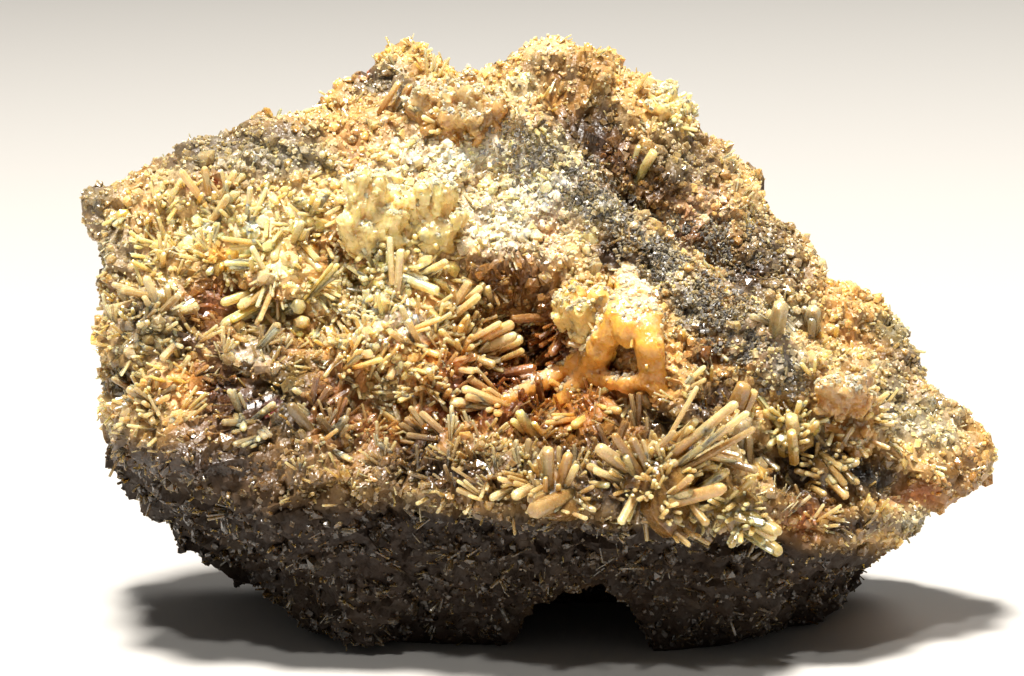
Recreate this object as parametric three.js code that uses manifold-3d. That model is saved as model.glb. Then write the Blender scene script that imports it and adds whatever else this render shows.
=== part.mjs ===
// A hand-size specimen of mimetite: a broken block of brown, iron-stained ore whose vuggy
// front is overgrown with yellow to orange prismatic crystals.
//
// Units are millimetres, +Z is up. The origin is on the surface that the specimen stands on,
// below the middle of its outline. The crystal-covered front looks towards -Y.
//
// The block is described as fracture faces, softened and then swollen or hollowed by named
// forms. The crystals are six-sided prisms with blunt pyramid ends. Those of one cluster have
// grown together, so each cluster is one solid, seated in a socket of the matrix.

import * as THREE from "three";
import { mergeVertices } from "three/addons/utils/BufferGeometryUtils.js";
import Module from "manifold-3d";

// Driving dimensions
const heartHeight = 22; // the height of the block's heart, from which its skin is measured
const edgeSharpness = 24; // how crisply the fracture faces meet: higher is sharper
const skinSteps = 7; // how finely the skin is divided
const frontCrowding = 0.35; // how much its corners crowd towards the front, where the detail is
const normalStep = 0.012; // how far apart, in radians, the skin is tried for its slope
const seatGap = 0.3; // clearance between a cluster and its socket
const cornerAllowance = 1.7; // how much further a corner moves than the faces that meet there
const crystalSink = 0.5; // how deep a crystal's foot reaches below the skin
const leastOutward = 0.4; // how far a crystal leans away from the skin at the least
const mound = { sides: 7, foot: -1.4, rim: 0.25, top: 0.7 }; // the lump of crust below a cluster
const limbSides = 6; // corners round a limb of the arch

// Where the front is looked at from. Places on it are given as seen from there: x to the
// right of the origin and h above the resting line, both on the upright plane through the
// middle of the specimen.
const viewElevation = 10; // degrees above the horizon
const viewDistance = 350;
const viewCentre = new THREE.Vector3(-2, 0, 24);
const viewCentreHeight = 25.8; // h of the view's centre
const sightSpan = 40; // how far before and behind the middle plane the skin is looked for
const sightStep = 0.5;

const heart = new THREE.Vector3(0, 0, heartHeight);
const radians = THREE.MathUtils.degToRad;

// A unit vector from an azimuth (0 towards the viewer, 90 to the right) and an elevation.
function facing(azimuth, elevation) {
  const a = radians(azimuth);
  const e = radians(elevation);
  return new THREE.Vector3(Math.sin(a) * Math.cos(e), -Math.cos(a) * Math.cos(e), Math.sin(e));
}

// Fracture faces of the block: a point that each one passes through, and where it looks.
const fractureFaces = [
  { name: "front slope left of the ridge", through: [-12, -10, 28], azimuth: -9, elevation: 36 },
  { name: "front slope right of the ridge", through: [20, -8, 24], azimuth: 38, elevation: 38 },
  { name: "brow", through: [0, -21, 14], azimuth: 0, elevation: 0 },
  { name: "underside below the brow", through: [0, -9, 0], azimuth: 0, elevation: -40 },
  { name: "underside on the left", through: [-26.3, -5.4, 9], azimuth: -62, elevation: -49 },
  { name: "underside on the right", through: [27.4, -5, 6.8], azimuth: 66, elevation: -47 },
  { name: "left end", through: [-36.9, 0, 27], azimuth: -92, elevation: -3 },
  { name: "left end of the front", through: [-32.5, -9, 22], azimuth: -52, elevation: 4 },
  { name: "roof on the left", through: [-26, 5, 39.3], azimuth: -90, elevation: 73 },
  { name: "top", through: [-4, 5, 47], azimuth: -20, elevation: 84 },
  { name: "roof on the right", through: [10, 4, 44.2], azimuth: 90, elevation: 68 },
  { name: "long slope on the right", through: [21.2, 2, 32.2], azimuth: 90, elevation: 42 },
  { name: "right tip", through: [40.8, 0, 14], azimuth: 84, elevation: -10 },
  { name: "right end of the front", through: [33, -10, 14], azimuth: 48, elevation: 6 },
  { name: "back", through: [0, 19, 20], azimuth: 176, elevation: 4 },
  { name: "back, upper", through: [0, 12, 43], azimuth: 184, elevation: 42 },
  { name: "back, left", through: [-31, 12, 26], azimuth: 222, elevation: 4 },
  { name: "back, right", through: [24, 13, 18], azimuth: 140, elevation: 20 },
  { name: "back, lower", through: [0, 17, 6], azimuth: 180, elevation: -36 },
  { name: "base, trimmed flat later", through: [0, 0, -3], azimuth: 0, elevation: -90 },
].map((face) => {
  const normal = facing(face.azimuth, face.elevation);
  const distance = new THREE.Vector3(...face.through).sub(heart).dot(normal);
  return { ...face, normal, distance };
});

// How far the softened fracture faces lie from the heart in a direction.
function blockReach(direction) {
  let sum = 0;
  for (const face of fractureFaces) {
    const toward = face.normal.dot(direction);
    if (toward > 0) sum += (toward / face.distance) ** edgeSharpness;
  }
  return sum ** (-1 / edgeSharpness);
}

// A number from 0 to 1 for each corner of a lattice.
function latticeNumber(i, j, k) {
  let n = Math.imul(i, 374761393) ^ Math.imul(j, 668265263) ^ Math.imul(k, 1274126177);
  n = Math.imul(n ^ (n >>> 13), 1103515245);
  n = Math.imul(n ^ (n >>> 16), 1274126177);
  return ((n ^ (n >>> 15)) >>> 0) / 4294967296;
}

// Smooth noise from -1 to 1 over lattice cells one unit wide.
const cellCorners = [0, 1, 2, 3, 4, 5, 6, 7].map((n) => [n & 1, (n >> 1) & 1, n >> 2]);
function smoothNoise(x, y, z) {
  const [i, j, k] = [Math.floor(x), Math.floor(y), Math.floor(z)];
  const [u, v, w] = [x - i, y - j, z - k].map((t) => t * t * (3 - 2 * t));
  let total = 0;
  for (const [di, dj, dk] of cellCorners) {
    const share = (di ? u : 1 - u) * (dj ? v : 1 - v) * (dk ? w : 1 - w);
    total += share * latticeNumber(i + di, j + dj, k + dk);
  }
  return 2 * total - 1;
}

// The unevenness of broken ore: two sizes of lumps.
const lumpSizes = [
  { across: 11, height: 1.5 },
  { across: 4.5, height: 0.8 },
];
function unevenness(point) {
  let rise = 0;
  for (const { across, height } of lumpSizes)
    rise += height * smoothNoise(point.x / across, point.y / across, point.z / across);
  return rise;
}

// Where the line of sight through (x, h) first meets a surface that `reach` describes, or,
// beside the outline, where it passes closest to it.
function sightMeets(x, h, reach) {
  const e = radians(viewElevation);
  const back = new THREE.Vector3(0, -Math.cos(e), Math.sin(e));
  const up = new THREE.Vector3(0, Math.sin(e), Math.cos(e));
  const eye = viewCentre.clone().addScaledVector(back, viewDistance);
  const seen = viewCentre
    .clone()
    .add(new THREE.Vector3(x - viewCentre.x, 0, 0))
    .addScaledVector(up, h - viewCentreHeight);
  const way = seen.sub(eye).normalize();
  const at = (s) => eye.clone().addScaledVector(way, s);
  const depthInside = (s) => {
    const p = at(s).sub(heart);
    return reach(p.clone().normalize()) - p.length();
  };
  let closest = viewDistance - sightSpan;
  for (let s = closest; s < viewDistance + sightSpan; s += sightStep) {
    if (depthInside(s) > depthInside(closest)) closest = s;
    if (depthInside(s) < 0) continue;
    let outside = s - sightStep;
    let inside = s;
    for (let n = 0; n < 20; n++) {
      const middle = (outside + inside) / 2;
      if (depthInside(middle) < 0) outside = middle;
      else inside = middle;
    }
    return at(inside);
  }
  return at(closest);
}

// Forms that swell or hollow the block along a line seen from the front.
const frontForms = [
  { name: "silvery ridge", from: [-3, 43], to: [20.5, 22], radius: 4, rise: 3 },
  { name: "dark gully", from: [2, 45.3], to: [9.5, 37.5], radius: 3.4, rise: -3.8 },
  { name: "crown", from: [0.5, 48], to: [4, 48], radius: 5, rise: 0.6 },
  { name: "left horn", from: [-16.6, 47], to: [-10.5, 47.2], radius: 4, rise: 3.7 },
  { name: "bench on the roof", from: [-34, 38], to: [-17, 41.5], radius: 4, rise: 1.4 },
  { name: "left end knob", from: [-37, 38.8], to: [-36.6, 36.2], radius: 4, rise: 1.4 },
  { name: "central vug", from: [-2.5, 26.5], to: [3.5, 20.5], radius: 7.5, rise: -9 },
  { name: "hole below the arch", from: [7, 24], to: [9, 22.5], radius: 3, rise: -5 },
  { name: "left hollow", from: [-27, 29], to: [-21.5, 26.5], radius: 4, rise: -5.2 },
  { name: "rusty hollow", from: [-26, 21.5], to: [-23, 20], radius: 3.6, rise: -4 },
  { name: "red hollow", from: [-19, 33.5], to: [-17, 32.5], radius: 3, rise: -3 },
  { name: "brown hollow", from: [-17, 20], to: [-10, 16.5], radius: 3.4, rise: -3.2 },
  { name: "left knob", from: [-33.5, 27], to: [-29.5, 25], radius: 5, rise: 2.2 },
  { name: "lower left knob", from: [-32, 18], to: [-28, 17.5], radius: 5, rise: 2 },
  { name: "left brow", from: [-25, 17.5], to: [-9, 14.5], radius: 4.5, rise: 2.2 },
  { name: "right brow", from: [-2.5, 13.5], to: [15, 13], radius: 5, rise: 3 },
  { name: "yellow shoulder", from: [-14.5, 39], to: [-13, 34], radius: 3.6, rise: 2 },
  { name: "orange boss", from: [22.5, 21.5], to: [26, 19.5], radius: 4.4, rise: 2 },
  { name: "right end boss", from: [33, 16], to: [36, 14.5], radius: 5, rise: 2 },
  { name: "hollow in the right end", from: [29.5, 13.2], to: [31.5, 12.8], radius: 2.4, rise: -2.4 },
  { name: "black hollow", from: [20.5, 15.5], to: [23.5, 14], radius: 3.4, rise: -3.8 },
  { name: "right shoulder", from: [27.5, 28], to: [30, 26], radius: 4.6, rise: 1.8 },
  { name: "lower right bulge", from: [18, 4], to: [25, 5], radius: 5, rise: 1.6 },
  { name: "lower left bulge", from: [-21, 5], to: [-14, 3], radius: 5, rise: 2.4 },
  { name: "cave under the ridge", from: [-7, 31.2], to: [-1.5, 29.8], radius: 3, rise: -2.6 },
  { name: "cave of the right slope", from: [16.6, 33], to: [18.8, 31.4], radius: 2.6, rise: -2.4 },
  { name: "upper right end", from: [34.4, 22.4], to: [36.6, 18.6], radius: 4, rise: 1.8 },
  { name: "notch in the left end", from: [-38, 33.5], to: [-37, 31.5], radius: 4, rise: -2 },
  { name: "step in the roof", from: [-20, 43.6], to: [-17.6, 44.6], radius: 3, rise: -1 },
  { name: "hollow under the brow", from: [-14, 10], to: [2, 9], radius: 4.5, rise: -1.6 },
].map((form) => ({
  ...form,
  line: new THREE.Line3(
    sightMeets(...form.from, blockReach),
    sightMeets(...form.to, blockReach),
  ),
}));

// Forms on the sides that the view from the front doesn't show.
const hiddenForms = [
  { name: "step on the back", from: [-20, 18, 30], to: [12, 19, 26], radius: 7, rise: 2 },
  { name: "scar on the back", from: [-6, 19, 14], to: [10, 18, 17], radius: 6, rise: -2 },
  { name: "hollow at the back left", from: [-27, 12, 20], to: [-23, 14, 33], radius: 6, rise: -1.8 },
  { name: "rib at the back right", from: [16, 15, 30], to: [26, 9, 12], radius: 5, rise: 1.8 },
].map((form) => ({
  ...form,
  line: new THREE.Line3(new THREE.Vector3(...form.from), new THREE.Vector3(...form.to)),
}));
const forms = [...frontForms, ...hiddenForms];

// How far the skin of the matrix lies from the heart in a direction.
function skinReach(direction) {
  const reach = blockReach(direction);
  const point = direction.clone().multiplyScalar(reach).add(heart);
  const nearest = new THREE.Vector3();
  let rise = unevenness(point);
  for (const form of forms) {
    form.line.closestPointToPoint(point, true, nearest);
    const t = point.distanceTo(nearest) / form.radius;
    if (t < 1) rise += form.rise * (1 - t * t) ** 2;
  }
  return reach + rise;
}

function onSkin(direction) {
  return direction.clone().multiplyScalar(skinReach(direction)).add(heart);
}

// The skin's outward normal at a point of it, from four points around it.
function skinNormal(point) {
  const out = point.clone().sub(heart).normalize();
  const side = new THREE.Vector3(0, 0, 1).cross(out).normalize();
  const rise = out.clone().cross(side);
  const near = (a, b) =>
    onSkin(out.clone().addScaledVector(side, a).addScaledVector(rise, b).normalize());
  const across = near(normalStep, 0).sub(near(-normalStep, 0));
  const upward = near(0, normalStep).sub(near(0, -normalStep));
  return across.cross(upward).normalize();
}

// Solids
const wasm = await Module();
wasm.setup();

function solidOf(geometry) {
  const bare = geometry.clone();
  bare.deleteAttribute("normal");
  bare.deleteAttribute("uv");
  const merged = mergeVertices(bare, 1e-4);
  return new wasm.Manifold(
    new wasm.Mesh({
      numProp: 3,
      vertProperties: merged.attributes.position.array,
      triVerts: new Uint32Array(merged.index.array),
    }),
  );
}

function geometryOf(solid) {
  const mesh = solid.getMesh();
  const geometry = new THREE.BufferGeometry();
  geometry.setAttribute("position", new THREE.BufferAttribute(mesh.vertProperties, 3));
  geometry.setIndex(new THREE.BufferAttribute(mesh.triVerts, 1));
  return geometry;
}

const joined = (solids) => solids.reduce((sum, solid) => sum.add(solid));
const largestBody = (solid) =>
  solid.decompose().reduce((best, body) => (body.volume() > best.volume() ? body : best));

// A closed solid from rings of corners that run anticlockwise about the way from the first
// ring to the last. The ends are closed flat, or by a fan where an end is a single point.
// `clearance` swells the solid all round, for a socket.
function solidFromRings(rings, clearance = 0) {
  const firstOf = (r) => rings.slice(0, r).reduce((sum, ring) => sum + ring.length, 0);
  const triangles = [];
  for (let r = 0; r + 1 < rings.length; r++) {
    const [low, high] = [firstOf(r), firstOf(r + 1)];
    const sides = Math.max(rings[r].length, rings[r + 1].length);
    for (let n = 0; n < sides; n++) {
      const next = (n + 1) % sides;
      if (rings[r].length > 1 && rings[r + 1].length > 1)
        triangles.push(low + n, low + next, high + next, low + n, high + next, high + n);
      else if (rings[r].length > 1) triangles.push(low + n, low + next, high);
      else triangles.push(low, high + next, high + n);
    }
  }
  const last = firstOf(rings.length - 1);
  for (let n = 1; n + 1 < rings[0].length; n++) triangles.push(0, n + 1, n);
  for (let n = 1; n + 1 < rings.at(-1).length; n++) triangles.push(last, last + n, last + n + 1);
  const geometry = new THREE.BufferGeometry().setFromPoints(rings.flat()).setIndex(triangles);
  geometry.computeVertexNormals();
  const { position, normal } = geometry.attributes;
  for (let n = 0; n < position.array.length; n++)
    position.array[n] += normal.array[n] * clearance * cornerAllowance;
  return solidOf(geometry);
}

// A seeded source of numbers from 0 to 1.
function seededNumbers(seed) {
  let state = seed;
  return () => {
    state = (state + 0x6d2b79f5) | 0;
    let n = Math.imul(state ^ (state >>> 15), 1 | state);
    n = (n + Math.imul(n ^ (n >>> 7), 61 | n)) ^ n;
    return ((n ^ (n >>> 14)) >>> 0) / 4294967296;
  };
}

// Two directions square to a direction and to each other.
function squareTo(direction) {
  const helper = Math.abs(direction.z) < 0.8 ? new THREE.Vector3(0, 0, 1) : new THREE.Vector3(1, 0, 0);
  const across = helper.cross(direction).normalize();
  return [across, direction.clone().cross(across)];
}

// A prism with a pyramid on its end, from a depth below its foot to its tip.
function pointedPrism({ foot, direction, length, radius, sides, spin, sink, shoulder }) {
  const [across, upward] = squareTo(direction);
  const at = (along) => foot.clone().addScaledVector(direction, along);
  const ring = (along) =>
    Array.from({ length: sides }, (_, n) => {
      const angle = spin + (n * 2 * Math.PI) / sides;
      return at(along)
        .addScaledVector(across, Math.cos(angle) * radius)
        .addScaledVector(upward, Math.sin(angle) * radius);
    });
  return solidFromRings([ring(-sink), ring(length - shoulder), [at(length)]]);
}

// One mimetite crystal: a six-sided prism with a blunt pyramid. Its room is a plain
// four-sided prism with clearance all round, for the socket that it needs in other pieces.
function crystal({ foot, direction, length, width, spin }) {
  const [radius, shoulder] = [width / 2, width * 0.45];
  return pointedPrism({ foot, direction, length, radius, sides: 6, spin, sink: crystalSink, shoulder });
}
function crystalRoom({ foot, direction, length, width, spin }) {
  const radius = (width / 2 + seatGap) * Math.SQRT2;
  const [sink, reach] = [crystalSink + seatGap, length + seatGap + radius * 0.6];
  return pointedPrism({ foot, direction, length: reach, radius, sides: 4, spin, sink, shoulder: radius });
}

// A direction given as seen from the front: its turn in the picture (0 to the right, 90 up)
// and its lift out of the picture. It is bent outwards where it would run into the skin.
function seenDirection(turn, lift, normal) {
  const [t, l, e] = [turn, lift, viewElevation].map(radians);
  const up = new THREE.Vector3(0, Math.sin(e), Math.cos(e));
  const toward = new THREE.Vector3(0, -Math.cos(e), Math.sin(e));
  const direction = new THREE.Vector3(Math.cos(l) * Math.cos(t), 0, 0)
    .addScaledVector(up, Math.cos(l) * Math.sin(t))
    .addScaledVector(toward, Math.sin(l));
  const outward = direction.dot(normal);
  if (outward < leastOutward) direction.addScaledVector(normal, leastOutward - outward);
  return direction.normalize();
}

// The lump of crust that the crystals of a cluster share: a low seven-sided mound whose foot
// is below the skin.
function crustMound({ centre, normal, radius }, random, clearance = 0) {
  const [across, upward] = squareTo(normal);
  const at = (height) => centre.clone().addScaledVector(normal, height);
  const outline = Array.from({ length: mound.sides }, (_, n) => {
    const angle = (n * 2 * Math.PI) / mound.sides;
    const size = radius * (0.9 + 0.2 * random());
    const [aside, up] = [size * Math.cos(angle), size * Math.sin(angle)];
    return across.clone().multiplyScalar(aside).addScaledVector(upward, up);
  });
  const ring = (height, share) => outline.map((offset) => at(height).addScaledVector(offset, share));
  return solidFromRings([ring(mound.foot, 0.8), ring(mound.rim, 1), [at(mound.top)]], clearance);
}

// Clusters of crystals. Each crystal has x and h of its foot, its turn and lift in degrees, its
// length and its width. A cluster's radius is that of the lump of crust it stands on.
const clusters = [
  {
    // the long sheaf of parallel rods right of the middle
    name: "sheaf_of_rods",
    radius: 2.6,
    crystals: [
      [10.4, 15.6, 40, 20, 7.8, 0.9],
      [11, 15, 38, 30, 8.5, 0.8],
      [11.2, 14.5, 31, 20, 7.7, 0.8],
      [11.4, 16.6, 35, 45, 4.5, 1.1],
    ],
  },
  {
    name: "bright_fan",
    radius: 2,
    crystals: [
      [8, 14.7, 144, 25, 4, 1.3],
      [9.4, 14.4, 117, 25, 3.8, 0.9],
      [8.8, 14.2, 124, 35, 5.3, 0.8],
      [8.4, 13.6, -118, 40, 4.1, 0.8],
    ],
  },
  {
    name: "brow_spray",
    radius: 2.8,
    crystals: [
      [0.3, 13.9, -132, 25, 4, 1],
      [3.6, 13.8, -12, 20, 2.6, 0.7],
      [0.9, 13.2, 89, 30, 4, 1.2],
      [1.9, 13.4, 76, 35, 3.6, 0.9],
      [2.8, 13, -141, 20, 4.8, 1.6],
    ],
  },
  {
    name: "right_brow_spray",
    radius: 2.8,
    crystals: [
      [9.8, 11.9, 25, 20, 6.5, 1.3],
      [13, 13.1, 36, 35, 3.8, 1.1],
      [9.8, 11.5, -18, 30, 2.4, 0.9],
      [12.5, 12.5, -54, 35, 2.8, 0.8],
    ],
  },
  {
    name: "yellow_green_rods",
    radius: 1.8,
    crystals: [
      [16.5, 11.7, -26, 25, 4.3, 1.4],
      [17.1, 11, -33, 25, 3.1, 1.1],
      [16, 12.4, 50, 40, 3.3, 0.8],
    ],
  },
  {
    name: "fat_barrel",
    radius: 1.8,
    crystals: [
      [21.2, 17.4, 101, 20, 2.9, 1.7],
      [20.2, 18.8, 150, 35, 2.4, 0.8],
      [22, 17.8, 49, 45, 2.1, 0.8],
    ],
  },
  {
    name: "orange_blocks",
    radius: 2.8,
    crystals: [
      [24.7, 20.4, 127, 45, 3.5, 1.6],
      [25.5, 20.6, 63, 35, 2.8, 1.4],
      [25.7, 18.2, -60, 50, 2.6, 1.3],
      [26.6, 18.9, 95, 30, 2.6, 0.8],
      [27.1, 19.1, 82, 30, 2.4, 0.8],
    ],
  },
  {
    name: "yellow_blocks",
    radius: 1.6,
    crystals: [
      [3.7, 28, 111, 45, 2.9, 2.2],
      [4.9, 27.9, 78, 40, 2.6, 1.4],
      [4, 27.1, -103, 45, 2.2, 1.6],
    ],
  },
  {
    name: "vug_lip_rods",
    radius: 1.8,
    crystals: [
      [-5.7, 25.2, 25, 20, 4.4, 1],
      [-4.9, 24.7, 23, 30, 4, 1.1],
      [-5.6, 24.3, -18, 30, 2.6, 0.8],
      [-6.6, 25, 131, 40, 2.5, 0.8],
    ],
  },
  {
    // a fan of broad, flat blades high on the front
    name: "blade_fan",
    radius: 1.6,
    crystals: [
      [-8.8, 33.9, 98, 30, 5.1, 1.4],
      [-8.3, 33.9, 86, 35, 5.6, 1.3],
      [-7.7, 34.2, 74, 25, 4.4, 1.1],
      [-8.9, 34, 114, 20, 3.5, 0.8],
    ],
  },
  {
    name: "yellow_mass",
    radius: 2,
    crystals: [
      [-13.6, 34.4, 97, 40, 6.4, 1.8],
      [-13, 34.5, 88, 35, 5.6, 1.6],
      [-12.5, 34.9, 55, 45, 3.7, 1.5],
      [-12.9, 34.6, -23, 30, 3.1, 1.1],
    ],
  },
  {
    name: "cream_rods",
    radius: 1.8,
    crystals: [
      [-12, 31.1, -22, 20, 4.7, 1.1],
      [-13.2, 31.5, 119, 35, 2.5, 0.8],
      [-12, 30.5, -107, 40, 2.4, 0.8],
    ],
  },
  {
    name: "top_blocks",
    radius: 2.8,
    crystals: [
      [-7, 44, 94, 40, 3, 2.3],
      [-4.9, 44.1, 85, 40, 2.8, 2],
      [-9, 43.8, 104, 35, 2.8, 1.6],
      [-5.5, 43, 9, 45, 3.1, 1.1],
    ],
  },
  {
    name: "left_blades",
    radius: 1.8,
    crystals: [
      [-21.7, 28.8, -154, 20, 4.8, 1.3],
      [-22.6, 29.8, -160, 20, 3.6, 0.9],
      [-21.2, 28.3, -119, 30, 2.6, 0.8],
      [-20.4, 28.2, 20, 50, 2.6, 1.4],
    ],
  },
  {
    name: "grey_green_prisms",
    radius: 2,
    crystals: [
      [-18, 17.4, 126, 25, 4, 1.2],
      [-17.7, 18.6, 145, 25, 3, 0.9],
      [-17, 17.5, 51, 35, 2.8, 0.8],
    ],
  },
  {
    name: "left_end_rods",
    radius: 2,
    crystals: [
      [-31.4, 20.1, 142, 25, 2.8, 0.8],
      [-31.9, 21.2, 56, 25, 2.4, 0.8],
      [-32.8, 21.4, 150, 20, 2.4, 0.7],
      [-31.7, 19.6, -58, 35, 2.2, 0.7],
    ],
  },
  {
    name: "crown_crystals",
    radius: 1.8,
    crystals: [
      [10.7, 44.6, 77, 40, 2.2, 1.5],
      [12, 43.6, 81, 45, 2, 1.2],
      [10.2, 43.8, 143, 45, 2.4, 0.9],
    ],
  },
  {
    name: "lower_right_rods",
    radius: 1.8,
    crystals: [
      [24, 16, -43, 25, 3.4, 0.9],
      [23.7, 14.4, -51, 25, 3, 0.9],
      [24.4, 15, 20, 40, 2.6, 0.8],
    ],
  },
];

// Rows of a list of crystals as crystals that stand on the skin.
function crystalsOf(rows, random) {
  return rows.map(([x, h, turn, lift, length, width]) => {
    const foot = sightMeets(x, h, skinReach);
    return { foot, direction: seenDirection(turn, lift, skinNormal(foot)), length, width, spin: random() };
  });
}

// A cluster: its solid, and the socket that it takes up in other pieces.
function clusterPiece({ name, radius, crystals: rows }, seed) {
  const meanOf = (column) => rows.reduce((sum, row) => sum + row[column], 0) / rows.length;
  const centre = sightMeets(meanOf(0), meanOf(1), skinReach);
  const patch = { centre, normal: skinNormal(centre), radius };
  const crystals = crystalsOf(rows, seededNumbers(seed));
  const solid = joined([crustMound(patch, seededNumbers(seed)), ...crystals.map(crystal)]);
  const socket = joined([crustMound(patch, seededNumbers(seed), seatGap), ...crystals.map(crystalRoom)]);
  return { name, solid, socket };
}

// The yellow arch of massive mimetite beside the vug, with a small three-sided window.
function limb(points, clearance) {
  const places = points.map(([x, h, out, radius]) => {
    const skin = sightMeets(x, h, skinReach);
    const e = radians(viewElevation);
    const toward = new THREE.Vector3(0, -Math.cos(e), Math.sin(e));
    return { at: skin.addScaledVector(toward, out), radius };
  });
  const rings = places.map(({ at, radius }, n) => {
    const before = places[Math.max(n - 1, 0)].at;
    const after = places[Math.min(n + 1, places.length - 1)].at;
    const [across, upward] = squareTo(after.clone().sub(before).normalize());
    return Array.from({ length: limbSides }, (_, side) => {
      const angle = (side * 2 * Math.PI) / limbSides;
      return at
        .clone()
        .addScaledVector(across, Math.cos(angle) * radius)
        .addScaledVector(upward, Math.sin(angle) * radius);
    });
  });
  return solidFromRings(rings, clearance);
}

// Each limb runs through [x, h, how far in front of the skin, radius].
const archLimbs = [
  [[7.4, 31.4, -1.2, 1], [7.6, 29.4, 0.8, 1.3], [6.9, 27.6, 1.5, 1.5], [5.5, 25.4, 1.8, 1.4],
    [4.4, 23, 1.4, 1.3], [2.2, 20.6, -0.4, 1.1]],
  [[8.2, 29.2, 0.8, 1.5], [9, 27.2, 1.4, 1.4], [9.4, 25, 1.4, 1.2], [9.5, 22.9, 0.9, 1.2],
    [10.3, 21, -0.8, 0.9]],
  [[7.8, 29, 1, 1.4], [7.4, 26.8, 1.5, 1.3]],
  [[5, 22.6, 1.5, 1.1], [7.3, 22, 1.5, 0.9], [9.6, 22.4, 0.9, 1]],
];

function archPiece() {
  const solidWith = (clearance) => joined(archLimbs.map((points) => limb(points, clearance)));
  return { name: "mimetite_arch", solid: solidWith(0), socket: solidWith(seatGap) };
}

// The crust that lines the central vug: what a rounded body in the mouth of the vug takes off
// the block's skin, with stout amber rods on it.
const vugFloor = [0.8, 23.4];
const vugLining = { across: 5, deep: 4.5, beyond: 0.9 };
const vugRods = [
  [-0.7, 23.9, 33, 25, 4.1, 1.6],
  [-1.6, 23, 9, 25, 3.4, 1.1],
  [-1, 22.6, -36, 25, 3, 0.8],
];
function liningBody(clearance) {
  const floor = sightMeets(...vugFloor, skinReach);
  const out = floor.clone().sub(heart).normalize();
  const centre = floor.addScaledVector(out, vugLining.deep - vugLining.beyond);
  const [wide, deep] = [vugLining.across + clearance, vugLining.deep + clearance];
  const geometry = new THREE.IcosahedronGeometry(1, 2).scale(wide, wide, deep);
  const turned = new THREE.Quaternion().setFromUnitVectors(new THREE.Vector3(0, 0, 1), out);
  geometry.applyQuaternion(turned).translate(centre.x, centre.y, centre.z);
  return solidOf(geometry);
}

function vugPiece(block) {
  const crystals = crystalsOf(vugRods, seededNumbers(41));
  return {
    name: "vug_crust",
    solid: joined([block.intersect(liningBody(0)), ...crystals.map(crystal)]),
    socket: joined([liningBody(seatGap), ...crystals.map(crystalRoom)]),
  };
}

// The skin as a closed solid.
function matrixBlock() {
  const geometry = new THREE.IcosahedronGeometry(1, skinSteps);
  const position = geometry.attributes.position;
  const direction = new THREE.Vector3();
  for (let n = 0; n < position.count; n++) {
    direction.fromBufferAttribute(position, n).normalize();
    direction.y -= frontCrowding;
    const point = onSkin(direction.normalize());
    position.setXYZ(n, point.x, point.y, point.z);
  }
  return solidOf(geometry);
}

// Small crystals all over the front, which belong to the matrix.
const smallCrystals = { count: 30, left: -33, right: 27, low: 10, high: 44 };
function scatteredCrystals() {
  const random = seededNumbers(7);
  const { count, left, right, low, high } = smallCrystals;
  return Array.from({ length: count }, () => {
    const foot = sightMeets(left + (right - left) * random(), low + (high - low) * random(), skinReach);
    const direction = seenDirection(360 * random(), 20 + 50 * random(), skinNormal(foot));
    const length = 2 + 2.4 * random() ** 2;
    return crystal({ foot, direction, length, width: 0.8 + 0.4 * random(), spin: random() });
  });
}

// The overhang between the two feet, seen from the front, cut this deep.
const notch = {
  outline: [[-2.2, -5], [-2.2, 1.6], [-1.2, 3.4], [1.9, 5.6], [5.2, 6.8], [7, 5.6], [7.8, 1.6], [8.4, -5]],
  from: -30,
  to: 5,
};
function notchSolid() {
  const rings = [notch.from, notch.to].map((y) => notch.outline.map(([x, z]) => new THREE.Vector3(x, y, z)));
  return solidFromRings(rings);
}

function groundSolid() {
  return solidOf(new THREE.BoxGeometry(200, 200, 40).translate(0, 0, -20));
}

// Assembly: each piece keeps clear of those before it by the seat gap, and the matrix of all.
const clear = (solid, others) =>
  largestBody(others.reduce((rest, { socket }) => rest.subtract(socket), solid));

const block = matrixBlock();
const grown = [archPiece(), ...clusters.map((cluster, n) => clusterPiece(cluster, n + 1)), vugPiece(block)];
const pieces = grown.map((piece, n) => ({ ...piece, solid: clear(piece.solid, grown.slice(0, n)) }));
const broken = joined([block, ...scatteredCrystals()]).subtract(groundSolid()).subtract(notchSolid());
pieces.unshift({ name: "matrix", solid: clear(broken, pieces) });

const colours = { matrix: 0x8a6a44, mimetite_arch: 0xc98a2b, vug_crust: 0xa86a2a };
const clusterColour = 0xc9a45a;

const specimen = new THREE.Group();
for (const { name, solid } of pieces) {
  const color = colours[name] ?? clusterColour;
  const mesh = new THREE.Mesh(
    geometryOf(solid),
    new THREE.MeshStandardMaterial({ color, roughness: 0.5, metalness: 0 }),
  );
  mesh.name = name;
  specimen.add(mesh);
}

// The origin goes below the middle of the specimen's outline.
const middle = new THREE.Box3().setFromObject(specimen).getCenter(new THREE.Vector3());
for (const mesh of specimen.children) mesh.geometry.translate(-middle.x, -middle.y, 0);

export default specimen;
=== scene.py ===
# %% [markdown]
# # A mimetite specimen
# The thing is a broken block of brown ore, a hand's width long. Its front is a steep, vuggy
# slope that is overgrown with thousands of small six-sided crystals, honey-yellow to orange.
# Blender has many ways to cover a rock with crystals: scattered instances, hair, sculpting. This
# lesson builds every crystal as real mesh with numpy instead, because joined meshes can be
# measured, exported and reused. First comes the frame: the plain CAD model that this visual
# model dresses. Its box is kept, so that the two sizes can be compared at the end.

import math
from itertools import combinations

import bpy
import numpy as np
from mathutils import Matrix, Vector
from mathutils.kdtree import KDTree


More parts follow.
